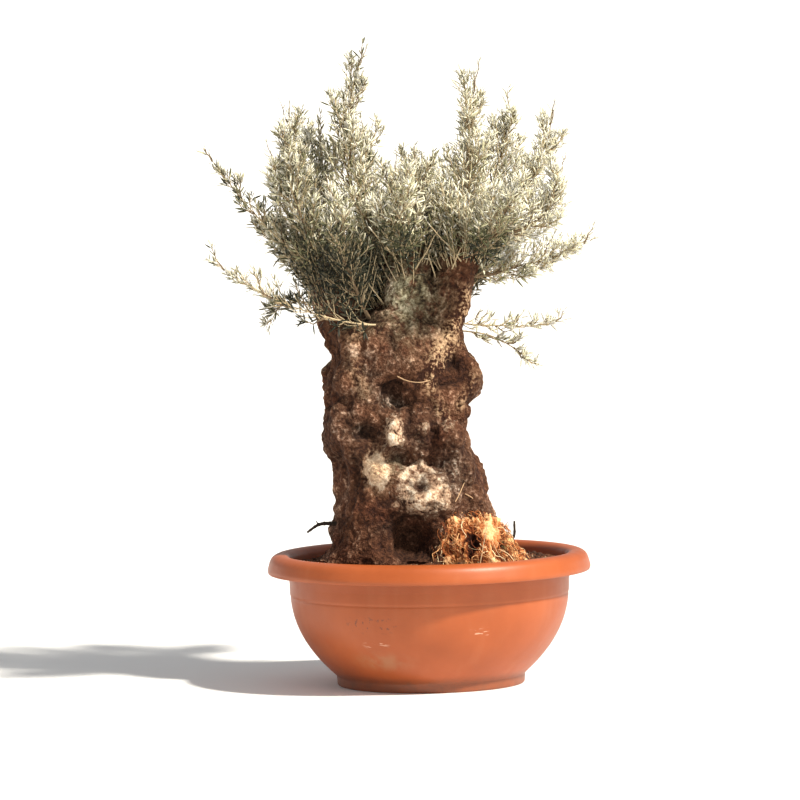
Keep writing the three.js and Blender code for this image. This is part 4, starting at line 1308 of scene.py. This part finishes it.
def main_twigs(index, reach, twigs):
    """The solids' own twigs of a mass. One that leaves the mass's space or touches a limb is tried
    again, turned on and shortened, and skipped after six attempts."""
    seed = index + 1
    grown = []
    for i in range(twigs):
        share = mix(0.18, 0.92, (i + 0.5 * draw(seed, i)) / (twigs - 0.5))
        spread = np.radians(mix(46, 24, share) + mix(-7, 7, draw(seed, i + 40)))
        full = reach * 1.3 * mix(1.08, 0.44, share) * mix(0.85, 1.15, draw(seed, i + 80))
        for attempt in range(6):
            turn = (i + 3.3 * attempt) * GOLDEN_ANGLE + seed
            twig = branch(STEMS[index], share, turn, spread, full * 0.9 ** attempt)
            probe = on_arc(twig[None], np.array([0.3, 0.65, 1.0]))
            if (in_own_space(probe, index) & clear_of_limbs(probe)).all():
                grown.append(twig)
                break
    return np.array(grown)


def finer(parents, per_parent, low, high, length, seed):
    """The next generation by the same rule, on whole arrays: so many arcs to a parent, dealt along
    it, turned by the golden angle, and shorter and steeper towards its tip."""
    parent = np.repeat(np.arange(len(parents)), per_parent)
    number = np.arange(len(parent))
    place = number % per_parent
    share = mix(low, high, (place + draw(seed, number)) / per_parent)
    turn = number * GOLDEN_ANGLE + seed
    spread = np.radians(mix(42, 20, share) + mix(-9, 9, draw(seed, number + 0.31)))
    size = np.broadcast_to(length, len(parents))[parent] * mix(0.55, 1.2, draw(seed, number + 0.57))
    size = size * mix(1.12, 0.2, share ** 1.2)
    return branch(parents[parent], share, turn, spread, size)


def kept(arcs, index, name):
    """The arcs that stay in their mass's box and near its own space, and off the limbs."""
    low, high = (np.array(corner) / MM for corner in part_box(name))
    middle, tip = on_arc(arcs, np.full(len(arcs), 0.6)), arcs[:, 2]
    beyond = tip + 0.8 * LEAF_LENGTH * heading_of(arcs, np.ones(len(arcs)))
    inside = ((beyond > low - 6) & (beyond < high + 6)).all(axis=1)
    free = clear_of_limbs(middle) & clear_of_limbs(tip)
    return arcs[inside & free & in_own_space(tip, index, margin=-34)]


def suckers(limb):
    """Shoots straight from the bark: round the upper part of a bough, or over the top of the trunk."""
    count, room = SUCKERS.get(limb, USUAL_SUCKERS)
    chance = [draw(61 + len(limb), np.arange(count) + 0.19 * k) for k in range(4)]
    angle = chance[0] * 2 * math.pi
    if limb == "trunk":
        lift = mix(0.45, 1.55, chance[1])
        height = FORK_HEIGHT + CROWN_OF_TRUNK * np.sin(lift)
        middle_x, middle_y, r = trunk_middle_and_radius(angle, height)
        out = round_axis(1, angle, 0)
        start = np.stack([middle_x, middle_y, height - 2], axis=-1) + out * (r * np.cos(lift))[:, None]
    else:
        path, radii = BOUGHS[limb]
        share = mix(0.48, 1.0, chance[1])
        side, over = square_to(unit(np.array(path[2], float) - path[0]) * np.ones((count, 1)))
        out = side * np.cos(angle)[:, None] + over * np.sin(angle)[:, None]
        start = on_arc(passing(*path), share) + out * (bough_radius(radii, share) * 0.92)[:, None]
    heading = unit(out * mix(0.45, 1.1, chance[2])[:, None] + UP)
    arcs = grown_from(start, heading, mix(36, 118, chance[3]))
    x, y, z = start.T
    bare = (y < -20) & (z < np.interp(x, BARE_PLACES, BARE_HEIGHTS))
    half_way = on_arc(arcs, np.full(count, 0.5))
    return arcs[~bare & clear_of_limbs(half_way, room) & clear_of_limbs(arcs[:, 2], room)]


def crossing_shoots(limb, tree):
    """The long bare shoots of a limb: each roots on the front of the wood and rises a little forward."""
    arcs = []
    for (x0, z0), (x1, z1) in CROSSING_SHOOTS.get(limb, []):
        root = np.array([x0, front_depth(tree, x0, z0), z0])
        tip = np.array([x1, root[1] - 34, z1])
        arcs.append([root, (root + tip) / 2 + (0, -6, 3), tip])
    return np.array(arcs).reshape(-1, 3, 3)


def leaf_pairs(arcs, first, seed, spacing, tone, size=LEAF_LENGTH):
    """Opposite pairs along each arc, each pair square to the last, closing up towards the tip, where
    the last pair is small and nearly in line with the shoot. The result has two rows of arrays: root,
    heading, upper side, length, width, curl and tone."""
    pairs = np.maximum(np.round(arc_length(arcs) * (1 - first) / spacing), 2).astype(int)
    which = np.repeat(np.arange(len(arcs)), pairs)
    order = np.arange(len(which)) - np.repeat(np.cumsum(pairs) - pairs, pairs)
    share = mix(first, 1.0, (order + 1) / pairs[which])
    rows = []
    for hand in (0, 1):
        number = 2 * np.arange(len(which)) + hand
        chance = [draw(seed, number + 0.13 * k) for k in range(7)]
        at = np.clip(share + (chance[0] - 0.5) * 0.03, 0, 1)
        along = heading_of(arcs[which], at)
        turn = order * math.pi / 2 + hand * math.pi + which * 1.7 + (chance[1] - 0.5) * 0.7
        spread = np.radians(mix(64, 30, share) + (chance[2] - 0.5) * 40)
        ahead = unit(leaning(along, turn, spread) + UP * 0.1)
        across = unit(np.cross(ahead, along) + 1e-6)
        twist = (chance[3] - 0.5) * 1.3
        upper = np.cross(across, ahead) * np.cos(twist)[:, None] + across * np.sin(twist)[:, None]
        long = size * mix(0.76, 1.18, chance[4]) * mix(1.0, 0.7, share ** 4)
        wide = LEAF_WIDTH / LEAF_LENGTH * long * mix(0.85, 1.15, chance[5])
        curl = mix(-0.06, 0.22, chance[6])
        rows.append((on_arc(arcs[which], at), ahead, upper, long, wide, curl, tone[which]))
    return rows


# Where sprays turn from shaded to lit: in height, and to either side of the crown's middle.
CROWN_MIDDLE = -40
LIT_HEIGHTS = (785, 935)
LIT_REACHES = (170, 260)

# One leaf: its stations as share of the length and half width, and the lift of the rib there.
LEAF_STATIONS = [(0.34, 0.48, 0.16), (0.70, 0.40, 0.12)]
LEAF_TOP = [(0, 3, 1), (0, 2, 3), (1, 3, 6), (1, 6, 4), (3, 2, 5), (3, 5, 6), (4, 6, 7), (6, 5, 7)]
LEAF_UNDER = [(0, 1, 2), (1, 4, 5), (1, 5, 2), (4, 7, 5)]
LEAF_TONES = 5


def leaf_mesh(name, root, ahead, upper, long, wide, curl, tone):
    """Every leaf at once: a narrow blade with a roof-shaped upper side and a flat under side, which
    bends back as the square of the way along it. Both sides take the tones dealt to their spray."""
    across = np.cross(upper, ahead)

    def at(share, side, lift):
        bent = lift * wide - curl * long * share ** 2
        along, aside = ahead * (share * long)[:, None], across * (side * wide)[:, None]
        return root + along + aside + upper * bent[:, None]

    corners = [at(0.0, 0.0, 0.0)]
    for share, half, lift in LEAF_STATIONS:
        corners += [at(share, half, 0.0), at(share, -half, 0.0), at(share, 0.0, lift)]
    corners.append(at(1.0, 0.0, 0.0))
    points = np.stack(corners, axis=1).reshape(-1, 3)
    faces = copied_faces(np.array(LEAF_TOP + LEAF_UNDER), len(root), len(corners))
    side = np.repeat([0, LEAF_TONES], [len(LEAF_TOP), len(LEAF_UNDER)])
    return shell_mesh(name, points, faces), (tone[:, None] + side[None]).ravel()


def dealt_tones(arcs, seed, name=""):
    """A tone for each arc: dealt by the draw, with painted light and shade, lighter on the outside, the top
    and the sunny right, and darker inside and low down.
    """
    tip = arcs[:, 2]
    aside = tip[:, 0] - CROWN_MIDDLE
    away = np.hypot(aside, tip[:, 1])
    lit = np.maximum(smooth_step(*LIT_HEIGHTS, tip[:, 2]), smooth_step(*LIT_REACHES, np.abs(aside)))
    lit = np.maximum(lit, 0.8 * (name in SUNLIT))
    chance = draw(seed, np.arange(len(arcs)) + 0.77)
    level = (0.08 + 0.92 * lit) * (0.2 + away / 860 + tip[:, 0] / 1100 + 1.15 * chance)
    return np.clip(level * SHADED_MASSES.get(name, 1.0) * LEAF_TONES, 0, LEAF_TONES - 1).astype(int)


def arcs_to_tubes(arcs, thick, thin, sides, stations, buried=0.0):
    """Arcs as tapered tubes, with a slight waver that dies out at both ends. A share of their way may
    run on behind their start, into the wood."""
    share = np.linspace(-buried, 1, stations)
    paths = np.stack([on_arc(arcs, np.full(len(arcs), t)) for t in share], axis=1)
    phase = np.arange(len(arcs))[:, None, None] * 1.9 + np.array([0, 2.1, 4.2])
    waver = np.sin(share[None, :, None] * 9 + phase) * np.sin(share * math.pi)[None, :, None]
    radii = mix(thick, thin, np.maximum(share, 0) ** 0.8)[None] * np.ones((len(arcs), 1))
    return tubes(paths + waver * thick * 0.9, radii, sides)


def leaf_finishes():
    """The tones of the upper side and then of the under side, each from dark to light: shaded and lit copies
    of the leaf's colours, dealt partly by the draw and partly as painted light and shade.
    """
    tops = [(42, 45, 30), (78, 79, 53), (130, 127, 94), (192, 187, 152), (244, 239, 210)]
    unders = [(110, 106, 86), (180, 173, 148), (238, 231, 208), (254, 250, 232), (255, 253, 242)]
    return [plain_finish(f"leaf_{side}_{k}", srgb(*tone), roughness)
            for side, tones, roughness in (("upper", tops, 0.5), ("under", unders, 0.7))
            for k, tone in enumerate(tones)]


def mass_arcs(name):
    """The generations of a mass: its stem, its main twigs, the shoots on both, and their own shoots."""
    index = list(MASSES).index(name)
    reach, twigs = MASSES[name][4:]
    seed = index + 1
    full = reach > FULL_REACH
    stem = STEMS[index][None]
    main = main_twigs(index, reach, twigs)
    per_stem = int(arc_length(stem)[0] / (6.5 if full else 13))
    on_stem = finer(stem, per_stem, 0.04, 0.82, reach * 1.1, seed + 0.2)
    bushy, per_twig = (main[:-1], 8) if full else (main, 2)
    on_main = finer(bushy, per_twig, 0.15, 0.95, 0.58 * arc_length(bushy), seed + 0.4)
    shoots = np.concatenate([kept(on_stem, index, name), kept(on_main, index, name)])
    finest = finer(shoots, 1, 0.2, 0.6, 0.6 * arc_length(shoots), seed + 0.6)
    return stem, main, shoots, kept(finest, index, name)


def grow_mass(name):
    """A mass's rows of leaves, its woody tubes and its slim ones."""
    full = MASSES[name][4] > FULL_REACH
    seed = list(MASSES).index(name) + 1
    spacing = PAIR_SPACING if full else 1.35 * PAIR_SPACING
    stem, main, shoots, finest = mass_arcs(name)
    leaves = []
    for arcs, first, close in ((stem, 0.6, 0.6), (main, 0.3, 0.8), (shoots, 0.1, 1.0), (finest, 0.12, 1.0)):
        tone = dealt_tones(arcs, seed + first, name)
        leaves += leaf_pairs(arcs, first, seed + first, spacing * close, tone)
    woody = [arcs_to_tubes(main, TWIG_RADIUS, 0.6, 6, 10)]
    slim = [arcs_to_tubes(shoots, SHOOT_RADIUS, 0.5, 4, 6), arcs_to_tubes(finest, FINEST_RADIUS, 0.45, 3, 5)]
    thick, group = (STEM_RADIUS, woody) if full else (THIN_STEM_RADIUS, slim)
    group.insert(0, arcs_to_tubes(stem, thick, 0.6, 8, 24, buried=0.04))
    return leaves, woody, slim


def make_foliage(tree):
    """For each limb, the twigs and the leaves of the masses that grow on it, and its own suckers."""
    leaf_tones = leaf_finishes()
    barks = [plain_finish("stem_bark", srgb(124, 104, 80), 0.85, 0.2),
             plain_finish("shoot_pale", srgb(196, 176, 140), 0.75, 0.15)]
    for limb in ("trunk", *BOUGHS):
        names = [name for name, mass in MASSES.items() if mass[0] == limb]
        leaves, woody, slim = (sum(lists, []) for lists in zip(*map(grow_mass, names)))
        young = suckers(limb)
        leaves += leaf_pairs(young, 0.12, 3.3, PAIR_SPACING, dealt_tones(young, 3.3), LEAF_LENGTH * 0.95)
        slim.append(arcs_to_tubes(young, SHOOT_RADIUS, 0.5, 4, 6))
        bare = crossing_shoots(limb, tree)
        if len(bare):
            leaves += leaf_pairs(bare, 0.72, 4.4, PAIR_SPACING, dealt_tones(bare, 4.4))
            slim.append(arcs_to_tubes(bare, BARE_SHOOT_RADIUS, 0.7, 6, 12))
        mesh, tone = leaf_mesh(f"leaves_{limb}", *(np.concatenate(column) for column in zip(*leaves)))
        add_piece(f"leaves_on_{limb}", mesh, leaf_tones, names, tone)
        points, faces = joined(woody + slim)
        is_slim = np.arange(len(faces)) >= sum(len(part) for _, part in woody)
        mesh = shell_mesh(f"twigs_{limb}", points, faces)
        add_piece(f"twigs_on_{limb}", mesh, barks, names, is_slim)


make_camera()
make_sun("key", strength=5.7, softness=4, towards=(-0.62, 0.46, -0.86), colour=(1.0, 0.94, 0.84))
make_sun("fill", strength=0.9, softness=50, towards=(-0.8, 0.62, -0.1), colour=(1.0, 0.96, 0.9))
make_world(colour=(0.97, 0.98, 1.0), strength=0.46)
make_floor()
bpy.context.scene.view_settings.view_transform = "Standard"

make_bowl()
make_soil()
make_crumbs()
wood_tree = make_trunk()
make_root_mound()
make_root_fibres()
make_dead_twigs(plain_finish("dead_wood", srgb(56, 46, 38), 0.9, 0.3))
make_straws(wood_tree, plain_finish("straw", srgb(186, 152, 116), 0.8, 0.2))
make_foliage(wood_tree)
